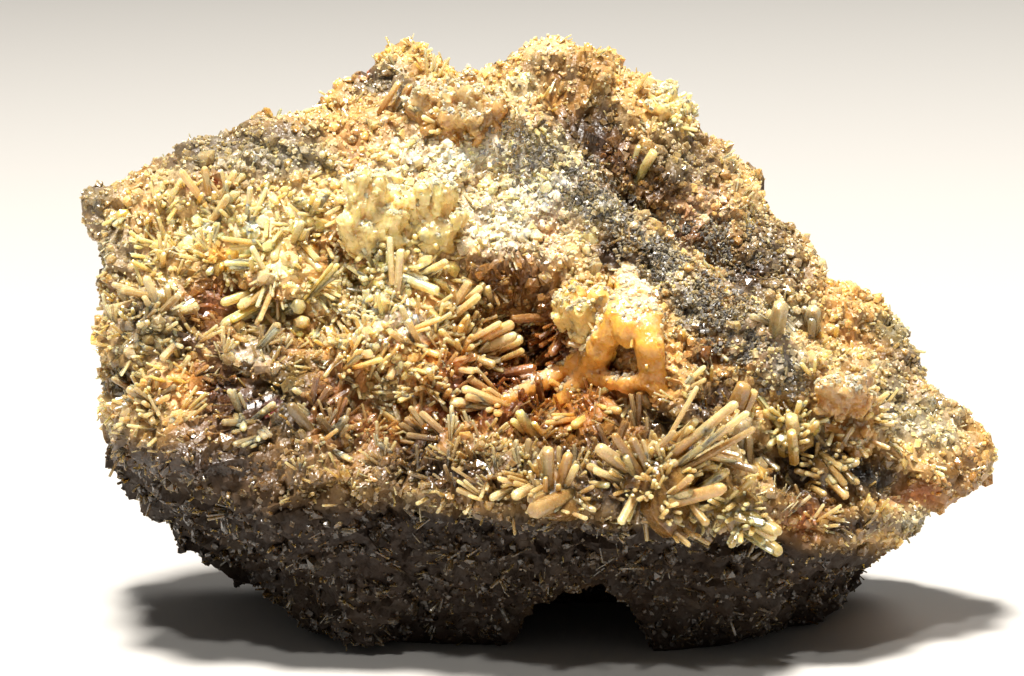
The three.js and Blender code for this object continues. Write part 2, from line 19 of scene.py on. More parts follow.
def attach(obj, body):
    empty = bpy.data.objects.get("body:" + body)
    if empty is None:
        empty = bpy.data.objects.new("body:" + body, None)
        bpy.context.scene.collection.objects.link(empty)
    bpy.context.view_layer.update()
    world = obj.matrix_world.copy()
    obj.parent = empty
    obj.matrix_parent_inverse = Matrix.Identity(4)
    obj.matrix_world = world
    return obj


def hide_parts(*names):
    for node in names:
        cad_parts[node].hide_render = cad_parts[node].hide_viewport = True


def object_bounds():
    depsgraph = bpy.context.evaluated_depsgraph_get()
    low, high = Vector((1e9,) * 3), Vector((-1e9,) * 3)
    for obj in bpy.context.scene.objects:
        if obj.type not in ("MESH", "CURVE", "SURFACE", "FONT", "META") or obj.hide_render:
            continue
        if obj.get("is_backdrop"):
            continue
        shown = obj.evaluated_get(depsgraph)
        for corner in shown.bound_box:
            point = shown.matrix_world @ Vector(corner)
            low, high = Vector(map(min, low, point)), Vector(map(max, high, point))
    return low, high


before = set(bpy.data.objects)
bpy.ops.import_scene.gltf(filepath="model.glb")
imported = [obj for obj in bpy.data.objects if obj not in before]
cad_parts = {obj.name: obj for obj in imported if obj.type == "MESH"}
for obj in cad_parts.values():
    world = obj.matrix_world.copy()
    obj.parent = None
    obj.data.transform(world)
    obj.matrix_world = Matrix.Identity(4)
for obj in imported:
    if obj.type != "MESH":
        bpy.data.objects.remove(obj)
cad_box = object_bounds()
print("pieces of the frame:", len(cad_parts))

# %% [markdown]
# ## Looking at the front
# Places on the front are easiest to give the way that they are seen: x to the right and h
# upwards, in millimetres, on the upright plane through the middle of the specimen. The camera
# looks at it from 10 degrees above the horizon through a long lens, as a collector would
# photograph it. Blender works in metres, so a mesh is made in millimetres and scaled as it is
# handed over. The CAD was made about its own heart and then moved until its box was centred,
# so every mesh here is moved by the same amount.

# %% The view from the front
VIEW_ELEVATION = math.radians(10)
VIEW_DISTANCE = 350.0
VIEW_CENTRE = np.array([-2.0, 0.0, 24.0])
VIEW_CENTRE_HEIGHT = 25.8
STANDS_AT = np.array([-0.73, 2.586, 0.0])
MILLIMETRE = 0.001

TO_RIGHT = np.array([1.0, 0.0, 0.0])
TO_VIEWER = np.array([0.0, -math.cos(VIEW_ELEVATION), math.sin(VIEW_ELEVATION)])
UP_IN_VIEW = np.array([0.0, math.sin(VIEW_ELEVATION), math.cos(VIEW_ELEVATION)])


def seen_at(points):
    """x and h of points, as the camera sees them."""
    from_centre = points - VIEW_CENTRE
    nearer = VIEW_DISTANCE / (VIEW_DISTANCE - from_centre @ TO_VIEWER)
    return np.stack(
        [
            VIEW_CENTRE[0] + from_centre[..., 0] * nearer,
            VIEW_CENTRE_HEIGHT + (from_centre @ UP_IN_VIEW) * nearer,
        ],
        axis=-1,
    )


def unit(vectors):
    return vectors / np.linalg.norm(vectors, axis=-1, keepdims=True)


print("the heart of the specimen is seen at", seen_at(np.array([0.0, 0.0, 22.0])).round(1))

# %% [markdown]
# ## The block
# Broken rock is a set of fracture faces whose edges have crumbled. One way to model it is to
# sculpt it; here each face is a plane, and a soft minimum of all planes gives the block as one
# number: how far its skin lies from its heart in any direction. The same faces make the CAD
# block, so the two agree.

# %% Fracture faces
HEART = np.array([0.0, 0.0, 22.0])
EDGE_SHARPNESS = 24

# Each face: a point that it passes through, its azimuth (0 towards the viewer) and elevation.
FRACTURE_FACES = [
    ((-12, -10, 28), -9, 36),
    ((20, -8, 24), 38, 38),
    ((0, -21, 14), 0, 0),
    ((0, -9, 0), 0, -40),
    ((-26.3, -5.4, 9), -62, -49),
    ((27.4, -5, 6.8), 66, -47),
    ((-36.9, 0, 27), -92, -3),
    ((-32.5, -9, 22), -52, 4),
    ((-26, 5, 39.3), -90, 73),
    ((-4, 5, 47), -20, 84),
    ((10, 4, 44.2), 90, 68),
    ((21.2, 2, 32.2), 90, 42),
    ((40.8, 0, 14), 84, -10),
    ((33, -10, 14), 48, 6),
    ((0, 19, 20), 176, 4),
    ((0, 12, 43), 184, 42),
    ((-31, 12, 26), 222, 4),
    ((24, 13, 18), 140, 20),
    ((0, 17, 6), 180, -36),
    ((0, 0, -3), 0, -90),
]


def facing(azimuth, elevation):
    a, e = math.radians(azimuth), math.radians(elevation)
    return np.array([math.sin(a) * math.cos(e), -math.cos(a) * math.cos(e), math.sin(e)])


FACE_NORMALS = np.array([facing(azimuth, elevation) for _, azimuth, elevation in FRACTURE_FACES])
FACE_DISTANCES = np.array(
    [(np.array(point) - HEART) @ normal for (point, _, _), normal in zip(FRACTURE_FACES, FACE_NORMALS)]
)


def block_reach(directions):
    """How far the softened fracture faces lie from the heart."""
    toward = np.clip(directions @ FACE_NORMALS.T, 0, None) / FACE_DISTANCES
    return (toward**EDGE_SHARPNESS).sum(axis=-1) ** (-1 / EDGE_SHARPNESS)


print("fracture faces:", len(FRACTURE_FACES))

# %% [markdown]
# ## Unevenness
# Between its edges a fracture face is lumpy. Smooth noise on a lattice gives lumps of any size:
# each corner of the lattice gets a number from an integer hash, and the numbers are blended in
# between. Blender has noise of its own, but this one can be repeated exactly in another tool.

# %% Smooth noise
CELL_CORNERS = [(n & 1, (n >> 1) & 1, n >> 2) for n in range(8)]


def lattice_number(i, j, k):
    """A number from 0 to 1 for each corner of a lattice."""
    i, j, k = (part.astype(np.int64).astype(np.uint32) for part in (i, j, k))
    n = i * np.uint32(374761393) ^ j * np.uint32(668265263) ^ k * np.uint32(1274126177)
    n = (n ^ (n >> np.uint32(13))) * np.uint32(1103515245)
    n = (n ^ (n >> np.uint32(16))) * np.uint32(1274126177)
    return (n ^ (n >> np.uint32(15))) / 4294967296.0


def smooth_noise(points, across):
    """Noise from -1 to 1 whose lumps are about this far across."""
    scaled = points / across
    corner = np.floor(scaled)
    u, v, w = np.moveaxis((scaled - corner) ** 2 * (3 - 2 * (scaled - corner)), -1, 0)
    i, j, k = np.moveaxis(corner, -1, 0)
    total = 0.0
    for di, dj, dk in CELL_CORNERS:
        share = (u if di else 1 - u) * (v if dj else 1 - v) * (w if dk else 1 - w)
        total = total + share * lattice_number(i + di, j + dj, k + dk)
    return 2 * total - 1


LUMPS = [(11, 1.5), (4.5, 0.8)]  # how far across each size of lump is, and how high


def unevenness(points):
    return sum(height * smooth_noise(points, across) for across, height in LUMPS)


print("noise at one point:", float(smooth_noise(np.array([[3.3, 4.1, 5.9]]), 2.0)[0]))

# %% [markdown]
# ## Ridges, hollows and knobs
# What makes this block itself is a silvery ridge that runs down from the top to the right, a
# dark gully beside it, a deep vug in the middle and knobs and hollows all over. Each is a form:
# a line seen from the front, a radius, and how far the skin rises or sinks along it.
# A line of sight is followed until it meets the skin, which puts the form on the slope.

# %% Forms of the front
FRONT_FORMS = {
    "silvery ridge": ((-3, 43), (20.5, 22), 4, 3),
    "dark gully": ((2, 45.3), (9.5, 37.5), 3.4, -3.8),
    "crown": ((0.5, 48), (4, 48), 5, 0.6),
    "left horn": ((-16.6, 47), (-10.5, 47.2), 4, 3.7),
    "bench on the roof": ((-34, 38), (-17, 41.5), 4, 1.4),
    "left end knob": ((-37, 38.8), (-36.6, 36.2), 4, 1.4),
    "central vug": ((-2.5, 26.5), (3.5, 20.5), 7.5, -9),
    "hole below the arch": ((7, 24), (9, 22.5), 3, -5),
    "left hollow": ((-27, 29), (-21.5, 26.5), 4, -5.2),
    "rusty hollow": ((-26, 21.5), (-23, 20), 3.6, -4),
    "red hollow": ((-19, 33.5), (-17, 32.5), 3, -3),
    "brown hollow": ((-17, 20), (-10, 16.5), 3.4, -3.2),
    "left knob": ((-33.5, 27), (-29.5, 25), 5, 2.2),
    "lower left knob": ((-32, 18), (-28, 17.5), 5, 2),
    "left brow": ((-25, 17.5), (-9, 14.5), 4.5, 2.2),
    "right brow": ((-2.5, 13.5), (15, 13), 5, 3),
    "yellow shoulder": ((-14.5, 39), (-13, 34), 3.6, 2),
    "orange boss": ((22.5, 21.5), (26, 19.5), 4.4, 2),
    "right end boss": ((33, 16), (36, 14.5), 5, 2),
    "hollow in the right end": ((29.5, 13.2), (31.5, 12.8), 2.4, -2.4),
    "black hollow": ((20.5, 15.5), (23.5, 14), 3.4, -3.8),
    "right shoulder": ((27.5, 28), (30, 26), 4.6, 1.8),
    "lower right bulge": ((18, 4), (25, 5), 5, 1.6),
    "lower left bulge": ((-21, 5), (-14, 3), 5, 2.4),
    "cave under the ridge": ((-7, 31.2), (-1.5, 29.8), 3, -2.6),
    "cave of the right slope": ((16.6, 33), (18.8, 31.4), 2.6, -2.4),
    "upper right end": ((34.4, 22.4), (36.6, 18.6), 4, 1.8),
    "notch in the left end": ((-38, 33.5), (-37, 31.5), 4, -2),
    "step in the roof": ((-20, 43.6), (-17.6, 44.6), 3, -1),
    "hollow under the brow": ((-14, 10), (2, 9), 4.5, -1.6),
}
# Small hollows sink the skin, and like every hollow their colours are darkened with painted shade.
SMALL_HOLLOWS = {
    "lower left of the vug": ((-8.5, 19.4), (-3, 22), 3.4, -3.2),
    "below the window": ((9.6, 19), (11.6, 17.8), 2.4, -2.4),
    "under the fan": ((12, 13.6), (14, 13), 2, -1.8),
    "behind the barrel": ((17.4, 21.8), (18.4, 20), 2.2, -1.8),
    "under the orange boss": ((26, 17.2), (29, 15.6), 2.4, -2),
    "between the left fields": ((-16.6, 31), (-15, 29.6), 2.2, -2),
    "under the left knob": ((-30.8, 24), (-28, 23.6), 2.4, -2.6),
    "left end": ((-35.4, 30), (-33.6, 29.4), 2, -1.4),
    "beside the green patch": ((-20.4, 22.6), (-16.8, 22.2), 2, -2),
    "left of the bright centre": ((-17, 26.4), (-15.6, 25), 1.8, -1.4),
    "in the roof": ((-24, 40.6), (-18, 41.2), 1.5, -1),
    "right of the gully": ((9, 40), (11.4, 38), 2, -1.4),
    "upper right": ((12.4, 36.4), (14.4, 34.4), 2, -1.4),
}
HIDDEN_FORMS = {
    "step on the back": ((-20, 18, 30), (12, 19, 26), 7, 2),
    "scar on the back": ((-6, 19, 14), (10, 18, 17), 6, -2),
    "hollow at the back left": ((-27, 12, 20), (-23, 14, 33), 6, -1.8),
    "rib at the back right": ((16, 15, 30), (26, 9, 12), 5, 1.8),
}
print("forms of the front:", len(FRONT_FORMS), "and small hollows:", len(SMALL_HOLLOWS))

# %% Lines of sight
SIGHT_SPAN = 40.0
SIGHT_STEP = 0.5


def sight_meets(seen, reach):
    """Where the lines of sight through [x, h] first meet the surface that `reach` describes."""
    seen = np.atleast_2d(np.array(seen, float))
    on_plane = (
        VIEW_CENTRE
        + (seen[:, :1] - VIEW_CENTRE[0]) * TO_RIGHT
        + (seen[:, 1:] - VIEW_CENTRE_HEIGHT) * UP_IN_VIEW
    )
    eye = VIEW_CENTRE + VIEW_DISTANCE * TO_VIEWER
    way = unit(on_plane - eye)

    def depth_inside(along):
        offset = eye + way * along[:, None] - HEART
        return reach(unit(offset)) - np.linalg.norm(offset, axis=-1)

    steps = np.arange(VIEW_DISTANCE - SIGHT_SPAN, VIEW_DISTANCE + SIGHT_SPAN, SIGHT_STEP)
    depths = np.array([depth_inside(np.full(len(seen), step)) for step in steps])
    meets = (depths >= 0).any(axis=0)
    first = np.where(meets, (depths >= 0).argmax(axis=0), depths.argmax(axis=0))
    inside = steps[first]
    outside = inside - SIGHT_STEP
    for _ in range(20):
        middle = (inside + outside) / 2
        out = depth_inside(middle) < 0
        outside, inside = np.where(out, middle, outside), np.where(out, inside, middle)
    along = np.where(meets, inside, steps[first])
    return eye + way * along[:, None]


form_lines = [
    (*sight_meets([start, end], block_reach), radius, rise)
    for start, end, radius, rise in [*FRONT_FORMS.values(), *SMALL_HOLLOWS.values()]
]
form_lines += [
    (np.array(start, float), np.array(end, float), radius, rise)
    for start, end, radius, rise in HIDDEN_FORMS.values()
]
print("forms:", len(form_lines))

# %% [markdown]
# ## The skin
# The skin is the block, plus its unevenness, plus the forms. Two cuts finish it: the flat base
# that it stands on, and the low hollow between its two feet.

# %% The skin function
NOTCH_OUTLINE = np.array([(-2.2, 1.6), (-1.2, 3.4), (1.9, 5.6), (5.2, 6.8), (7, 5.6), (7.8, 1.6)])
NOTCH_SIDES = (-2.2, 8.1)
NOTCH_BACK = 5.0
NOTCH_DEEPEST = 0.55  # the least share of its reach that the skin keeps over the hollow
CRYSTAL_LAYER = 0.6  # how far below the outline the skin lies, to leave room for crystals


def form_rise(points):
    """How far all forms together raise the skin."""
    rise = 0.0
    for start, end, radius, height in form_lines:
        along = end - start
        share = np.clip((points - start) @ along / (along @ along), 0, 1)
        apart = np.linalg.norm(points - start - share[..., None] * along, axis=-1) / radius
        rise = rise + height * np.clip(1 - apart**2, 0, None) ** 2
    return rise


def skin_reach(directions):
    reach = block_reach(directions)
    points = HEART + directions * reach[..., None]
    return reach + unevenness(points) + form_rise(points) - CRYSTAL_LAYER


def stand_flat(directions, reach):
    """Shortens the reach where it would pass the flat base or enter the hollow between the feet."""
    down = -directions[..., 2]
    reach = np.where(down > 0.05, np.minimum(reach, HEART[2] / np.maximum(down, 0.05)), reach)
    stop = reach.copy()

    # Going back along the reach, the last place inside the hollow is where the skin lies.
    for share in np.linspace(1, NOTCH_DEEPEST, 91):
        point = HEART + directions * (reach * share)[..., None]
        roof = np.interp(point[..., 0], NOTCH_OUTLINE[:, 0], NOTCH_OUTLINE[:, 1])
        inside = (point[..., 2] < roof) & (point[..., 1] < NOTCH_BACK)
        inside &= (point[..., 0] > NOTCH_SIDES[0]) & (point[..., 0] < NOTCH_SIDES[1])
        stop = np.where(inside, reach * share, stop)
    return stop


print("reach straight to the viewer:", skin_reach(np.array([[0.0, -1.0, 0.0]])).round(2))

# %% [markdown]
# ## The skin as a mesh
# A sphere of points around the heart is pushed out to the skin. A globe's points crowd at its
# poles, and an icosphere only comes in a few sizes, so this is a cube whose faces are divided
# evenly in angle. Its points are crowded towards the viewer, where the detail is.

# %% A cube blown up to the skin
GRID_STEPS = 128
FRONT_CROWDING = 0.5


def cube_directions(steps):
    """Directions from a cube's middle to the corners of its divided faces, and the quads."""
    turn = np.tan(np.linspace(-math.pi / 4, math.pi / 4, steps + 1))
    a, b = np.meshgrid(turn, turn, indexing="ij")
    one = np.ones_like(a)
    faces = [(one, a, b), (-one, b, a), (b, one, a), (a, -one, b), (a, b, one), (b, a, -one)]
    corners = np.concatenate([np.stack(face, axis=-1).reshape(-1, 3) for face in faces])
    numbers = np.arange((steps + 1) ** 2).reshape(steps + 1, steps + 1)
    quad = np.stack([numbers[:-1, :-1], numbers[1:, :-1], numbers[1:, 1:], numbers[:-1, 1:]], axis=-1)
    quads = np.concatenate([quad.reshape(-1, 4) + n * (steps + 1) ** 2 for n in range(6)])
    _, first, same = np.unique(np.round(corners * 1e5), axis=0, return_index=True, return_inverse=True)
    return unit(corners[first]), same.reshape(-1)[quads]


def corner_normals(points, quads):
    """Normals of a mesh of quads, averaged at its points."""
    across = points[quads[:, 2]] - points[quads[:, 0]]
    along = points[quads[:, 3]] - points[quads[:, 1]]
    normal = np.cross(across, along)
    total = np.zeros_like(points)
    for side in range(4):
        np.add.at(total, quads[:, side], normal)
    return unit(total)


sphere_directions, skin_quads = cube_directions(GRID_STEPS)
sphere_directions = unit(sphere_directions - [0, FRONT_CROWDING, 0])
smooth_reach = stand_flat(sphere_directions, skin_reach(sphere_directions))
smooth_skin = HEART + sphere_directions * smooth_reach[:, None]
skin_normals = corner_normals(smooth_skin, skin_quads)
print("skin:", len(smooth_skin), "points,", 2 * len(skin_quads), "triangles")

# %% [markdown]
# ## Chips
# Up close, ore breaks into chips: small flat facets, each tilted its own way, with steps
# between them. Smooth noise would look like dough. Here every cell of a jittered lattice is one
# chip, a little plane with its own tilt and height, in four sizes.

# %% Chips and grit
CHIPS = [(6.5, 0.8), (3.2, 0.8), (1.7, 0.5), (0.9, 0.3)]  # how far across and how high
GRIT = [(0.7, 0.08)]
BOX_ROOM = 0.9  # how far anything may reach past the box of the frame, in millimetres
NEIGHBOUR_CELLS = [(i, j, k) for i in (-1, 0, 1) for j in (-1, 0, 1) for k in (-1, 0, 1)]


def chips(points, across):
    """Height from about -1 to 1 of tilted chips this far across."""
    scaled = points / across
    home = np.floor(scaled)
    nearest = np.full(len(points), np.inf)
    height = np.zeros(len(points))
    for step in NEIGHBOUR_CELLS:
        cell = np.moveaxis(home + step, -1, 0)
        place = np.stack([lattice_number(*(cell + 31 * n)) for n in (1, 2, 3)], axis=-1)
        tilt = np.stack([lattice_number(*(cell + 31 * n)) for n in (4, 5, 6)], axis=-1) * 2 - 1
        away = scaled - (home + step + 0.15 + 0.7 * place)
        apart = (away**2).sum(axis=-1)
        plane = 0.8 * (away * tilt).sum(axis=-1) + place[:, 0] - 0.5
        height = np.where(apart < nearest, plane, height)
        nearest = np.minimum(nearest, apart)
    return height


roughening = sum(height * chips(smooth_skin, across) for across, height in CHIPS)
roughening = roughening + sum(height * smooth_noise(smooth_skin, across) for across, height in GRIT)
above_floor = np.clip(smooth_skin[:, 2] / 1.5, 0, 1)
skin_points = smooth_skin + skin_normals * (roughening * above_floor)[:, None]
low_corner = np.array(cad_box[0]) / MILLIMETRE - STANDS_AT - (BOX_ROOM, BOX_ROOM, 0)
high_corner = np.array(cad_box[1]) / MILLIMETRE - STANDS_AT + BOX_ROOM
skin_points = skin_points.clip(low_corner, high_corner)
relief = (smooth_reach - block_reach(sphere_directions) + roughening) * above_floor
print("relief of the skin from", relief.min().round(2), "to", relief.max().round(2), "mm")

# %% [markdown]
# ## Colours and growth, place by place
# No two hand widths of such a specimen look alike: iron stains the hollows orange, some corners and hollows
# are near black, and a fine silvery druse frosts the ridge. Shade is painted in as colour too: on the lower
# front, on the underside and in the hollows. Painting by hand on a mesh would not survive a change of
# shape. A list of soft patches does: each one has its middle and its reach in the view from the front, a
# colour, and how thickly rods and grains grow there compared with the rest of the front.

# %% Palette
PALETTE = {
    "white cream": (0.96, 0.94, 0.88),
    "cream": (0.97, 0.88, 0.67),
    "yellow cream": (0.95, 0.83, 0.52),
    "honey": (0.86, 0.67, 0.38),
    "olive honey": (0.69, 0.55, 0.32),
    "dull yellow": (0.66, 0.50, 0.25),
    "yellow": (0.92, 0.71, 0.29),
    "amber": (0.80, 0.54, 0.22),
    "orange": (0.96, 0.69, 0.37),
    "vug orange and painted shade": (0.58, 0.33, 0.10),
    "deep orange": (0.75, 0.45, 0.18),
    "rust": (0.45, 0.27, 0.12),
    "ochre": (0.62, 0.44, 0.20),
    "tan": (0.52, 0.43, 0.29),
    "grey tan": (0.44, 0.37, 0.28),
    "grey cream": (0.57, 0.52, 0.42),
    "silver": (0.45, 0.43, 0.40),
    "slate": (0.37, 0.35, 0.33),
    "olive": (0.50, 0.43, 0.25),
    "yellow green": (0.75, 0.65, 0.36),
    "dark green": (0.20, 0.18, 0.09),
    "brown": (0.36, 0.26, 0.15),
    "deep brown": (0.25, 0.16, 0.08),
    "shade brown": (0.19, 0.13, 0.07),
    "rock brown": (0.42, 0.33, 0.23),
    "black": (0.09, 0.08, 0.07),
    "red": (0.62, 0.07, 0.05),
    "pink": (0.90, 0.73, 0.62),
}


def linear(colour):
    """A screen colour as the linear light that Blender computes with."""
    colour = np.asarray(colour, float)
    return np.where(colour < 0.04045, colour / 12.92, ((colour + 0.055) / 1.055) ** 2.4)


print("colours of the palette:", len(PALETTE))

# %% Places
# Each place: x and h of its middle, its reach along x and h, its colour, then how thickly rods
# and grains grow there.
PLACES = {
    "left field": (-23, 33.6, 10, 5.4, "cream", 1.1, 0.9),
    "middle field": (-13, 29.5, 7, 5, "cream", 1.1, 0.8),
    "orange between the fields": (-15.4, 33, 3, 2.4, "orange", 0.9, 0.7),
    "roof on the left": (-27, 41.8, 12, 3.2, "grey tan", 0.1, 1.7),
    "pale streak of the roof": (-20, 40.6, 5, 1.3, "grey cream", 0.2, 1.7),
    "left end knob": (-36.4, 37.6, 1.9, 3, "grey tan", 0.1, 1.4),
    "pale edge of the left end": (-34.6, 33, 2.4, 4, "grey cream", 0.4, 1.2),
    "yellow field beside the hollow": (-27, 32, 3.5, 1.6, "yellow", 0.8, 0.8),
    "green of the left knob": (-29.8, 31, 2, 1, "yellow green", 0.4, 1),
    "left hollow": (-25, 29.2, 3.8, 1.5, "deep orange", 0.6, 0.3),
    "left knob": (-32.3, 27, 3.4, 3, "grey tan", 1.1, 0.7),
    "shadow of the left knob": (-28.6, 25.4, 2, 1.6, "deep brown", 1.2, 0.3),
    "dark corner of the left end": (-34.3, 22.5, 1.8, 1.6, "dark green", 0.4, 1),
    "cream crest": (-24.5, 25.4, 3.2, 1.8, "white cream", 1.1, 0.8),
    "rusty hollow": (-25.8, 21, 5.6, 4, "rust", 0.5, 0.3),
    "rusty core": (-26, 22.4, 1.6, 1.4, "deep brown", 0.6, 0.2),
    "grey green patch": (-19.6, 20.2, 4.8, 3.4, "dark green", 0.3, 0.5),
    "olive patch": (-18.6, 22.6, 3, 2, "olive", 0.4, 0.6),
    "red brown hollow": (-14.9, 19.4, 4, 4.2, "deep orange", 0.9, 0.3),
    "orange left of the vug": (-7, 21.4, 4, 3.6, "deep orange", 0.9, 0.3),
    "orange under the left knob": (-30.4, 21.4, 2.4, 2.2, "orange", 0.9, 0.6),
    "lower left corner": (-33.4, 15.6, 3, 2.2, "deep brown", 0.3, 0.9),
    "cream edge of the lower left": (-34.4, 18.6, 1, 1.2, "grey cream", 0.3, 1.2),
    "bright centre": (-10.8, 25, 6, 4.2, "orange", 1.3, 0.5),
    "pale crest of the bright centre": (-11, 26.9, 3.8, 1.2, "white cream", 1.0, 0.9),
    "yellow mass": (-12.9, 36.8, 2.4, 3.2, "yellow cream", 0.3, 0.8),
    "yellow blades": (-8.3, 36.3, 2.2, 2.6, "yellow cream", 0.3, 0.8),
    "sparkling slope": (-5, 38.6, 9, 5, "white cream", 0.2, 2),
    "sparkling tongue": (-1, 35.6, 4.2, 4.2, "white cream", 0.2, 2),
    "pink lump": (1.3, 34.4, 1.7, 1.5, "pink", 0.1, 1.5),
    "brown hollow under the ridge": (-2.6, 31, 4, 2, "ochre", 0.5, 0.5),
    "top blocks": (-7, 45.4, 5, 1.6, "tan", 0.4, 1.5),
    "left horn": (-12.5, 46.8, 3.5, 1.8, "grey tan", 0.1, 1.4),
    "crown": (1.8, 47.6, 4.6, 1.9, "ochre", 0.1, 1.1),
    "pale lumps of the crown": (-1.4, 46.6, 1.6, 1.1, "cream", 0.2, 1.2),
    "dark gully": (4.6, 43, 3.8, 2.5, "brown", 0.1, 0.9),
    "rust of the gully": (7.2, 41.2, 2.2, 1.8, "rust", 0.1, 1.2),
    "upper ridge": (1.6, 40.4, 3.4, 2, "grey cream", 0.1, 2.2),
    "silver of the upper ridge": (5.4, 36.2, 3, 2.2, "silver", 0, 2.4),
    "silver of the middle ridge": (10.4, 32, 3.2, 2.8, "silver", 0, 2.4),
    "slate of the middle ridge": (12.8, 28.6, 2, 2.2, "slate", 0, 2),
    "lower ridge": (17, 26, 3, 2.6, "silver", 0, 2),
    "silver plates": (20.4, 23.4, 2.6, 2.2, "silver", 0, 2.2),
    "brown beside the ridge": (6.2, 32.6, 3, 1.2, "deep brown", 0.4, 0.5),
    "rust below the ridge": (13.6, 24.2, 2.2, 1.8, "rust", 0.5, 0.8),
    "upper right": (12, 40, 5, 4.4, "tan", 0.1, 1.3),
    "pale knob of the upper right": (12, 44.8, 2.4, 1.2, "yellow cream", 0.3, 0.8),
    "pink of the upper right": (13.4, 36.4, 2, 1.8, "pink", 0.1, 1.4),
    "rust of the upper right": (12.4, 34.4, 1.6, 0.9, "rust", 0.1, 1.2),
    "right slope": (19, 32, 4.4, 4.6, "grey tan", 0.1, 1.6),
    "brown caves of the right slope": (17.2, 30.4, 2, 1, "deep brown", 0.2, 0.5),
    "pale lumps of the right slope": (20.8, 27.4, 2.4, 1.4, "grey cream", 0.2, 1.4),
    # The vug is orange stain, painted darker as the shade inside it.
    "vug": (1.2, 24.4, 5, 4.2, "vug orange and painted shade", 0.3, 0.1),
    "floor of the vug": (-3.6, 20.6, 4.4, 2.6, "vug orange and painted shade", 0.6, 0.1),
    "below the arch": (5.4, 20.4, 3.6, 1.8, "orange", 0.9, 0.3),
    "dark below the arch": (10, 19.2, 2.2, 1.6, "deep brown", 0.6, 0.2),
    # The brow in the middle is painted darker, as shade.
    "painted shade of the brow in the middle": (3, 14.6, 9, 3, "brown", 0.8, 0.4),
    "fan of rods": (13, 17, 3.6, 2.8, "olive", 0.8, 0.4),
    "orange boss": (24.4, 21, 2.6, 2.4, "ochre", 0.2, 1.2),
    "cream beside the boss": (29.4, 20.4, 2.4, 3, "grey cream", 0.3, 1.4),
    "black hollow": (22.4, 15, 3.6, 3.4, "black", 0.35, 0.5),
    "black hollow beside it": (27, 14.4, 3, 2.2, "black", 0.3, 0.5),
    "right shoulder": (31.5, 24.6, 4, 2.6, "grey tan", 0.1, 1.5),
    "cream of the right end": (32, 19.6, 3.4, 2.2, "grey cream", 0.2, 1.2),
    "olive edge of the right shoulder": (29, 26.6, 2.4, 1.6, "olive", 0.2, 1.3),
    "right end": (35, 14.4, 3.4, 3.4, "ochre", 0.1, 0.9),
    "orange hollow of the right end": (31.6, 13, 2.4, 1.2, "deep orange", 0.2, 0.8),
    "glint above the right end": (33, 18, 2, 1.4, "grey cream", 0.2, 1.7),
    "cream edge of the lower right": (31, 10.6, 2.6, 1.4, "grey cream", 0.2, 1.4),
    "orange patch of the lower right": (21.8, 10.6, 1.6, 1.4, "deep orange", 0.4, 1),
    "dark of the lower right": (26, 10.6, 3, 1.4, "deep brown", 0.5, 1),
    # The lower front is painted darker, as the shade below the brow.
    "painted shade of the lower left front": (-28, 15.2, 13, 3.6, "deep brown", 0.4, 0.5),
    "painted shade of the middle front": (-8, 15, 7, 2.8, "deep brown", 0.8, 0.5),
    "painted shade of the right front": (10, 12.4, 10, 1.6, "deep brown", 0.8, 0.5),
    "dark right of the fan": (14.6, 20.6, 2.8, 1.5, "deep brown", 0.6, 0.6),
    "red speck of the roof": (-28.3, 39, 0.5, 0.5, "red", 0.2, 1),
    "second red speck of the roof": (-25.5, 38.8, 0.45, 0.45, "red", 0.2, 1),
    "red speck of the horn": (-14, 47.7, 0.6, 0.5, "red", 0.2, 1),
    "red speck in the grey green patch": (-21.9, 19.9, 0.6, 0.7, "red", 0.3, 1),
}

# The edge above which the front is overgrown and below which it grows less and is painted in shade: x and
# h.
BROW = np.array([(-38, 17), (-30, 15.4), (-18, 14.6), (-8, 12.4), (2, 11.4), (18, 10), (28, 8), (38, 9.6)])
# The underside is painted in shade: its shade brown is full up to the first height and ends at the second.
SHADED_UNDERSIDE = ("shade brown", 0.3, 0.5)
UNDERSIDE_HEIGHTS = (12.5, 19)  # the underside is fully brown up to the first and ends at the second
BACK = ("rock brown", 0.05, 0.5)
FRONT = ("honey", 0.5, 1.0)

# Patches that vary a colour: towards what, how far across, how strongly. Colours darker than
# the front take on less of them.
PATCHES = (("amber", 5.2, 0.5), ("cream", 3.4, 0.45))
FRONT_LIGHTNESS = 0.4
print("places:", len(PLACES))


# %% The character of a point
def soft_step(value, low, high):
    share = np.clip((value - low) / (high - low), 0, 1)
    return share * share * (3 - 2 * share)


def hollow_share(points):
    """From 0 on the crests to 1 at the bottom of the hollows, where colours are darkened: partly stain,
    partly painted shade.
    """
    return soft_step(-form_rise(points) - unevenness(points) - 0.5 * chips(points, CHIPS[1][0]), 0.0, 3.4)


def warped_view(points):
    """x and h of points, shifted a little by noise, so that no patch has a smooth outline."""
    shift = np.stack([smooth_noise(points, 3.1), smooth_noise(points + 50, 3.1)], axis=-1)
    return seen_at(points) + 0.8 * shift


# How much of the underside's painted shade a point gets.
def underside_shade_share(points):
    seen = warped_view(points)
    below_brow = soft_step(np.interp(seen[:, 0], BROW[:, 0], BROW[:, 1]) - seen[:, 1], -1.8, 1.2)
    return below_brow * (1 - soft_step(points[:, 2], *UNDERSIDE_HEIGHTS))


def back_share(normals):
    return soft_step(-(normals @ TO_VIEWER), 0.0, 0.35)


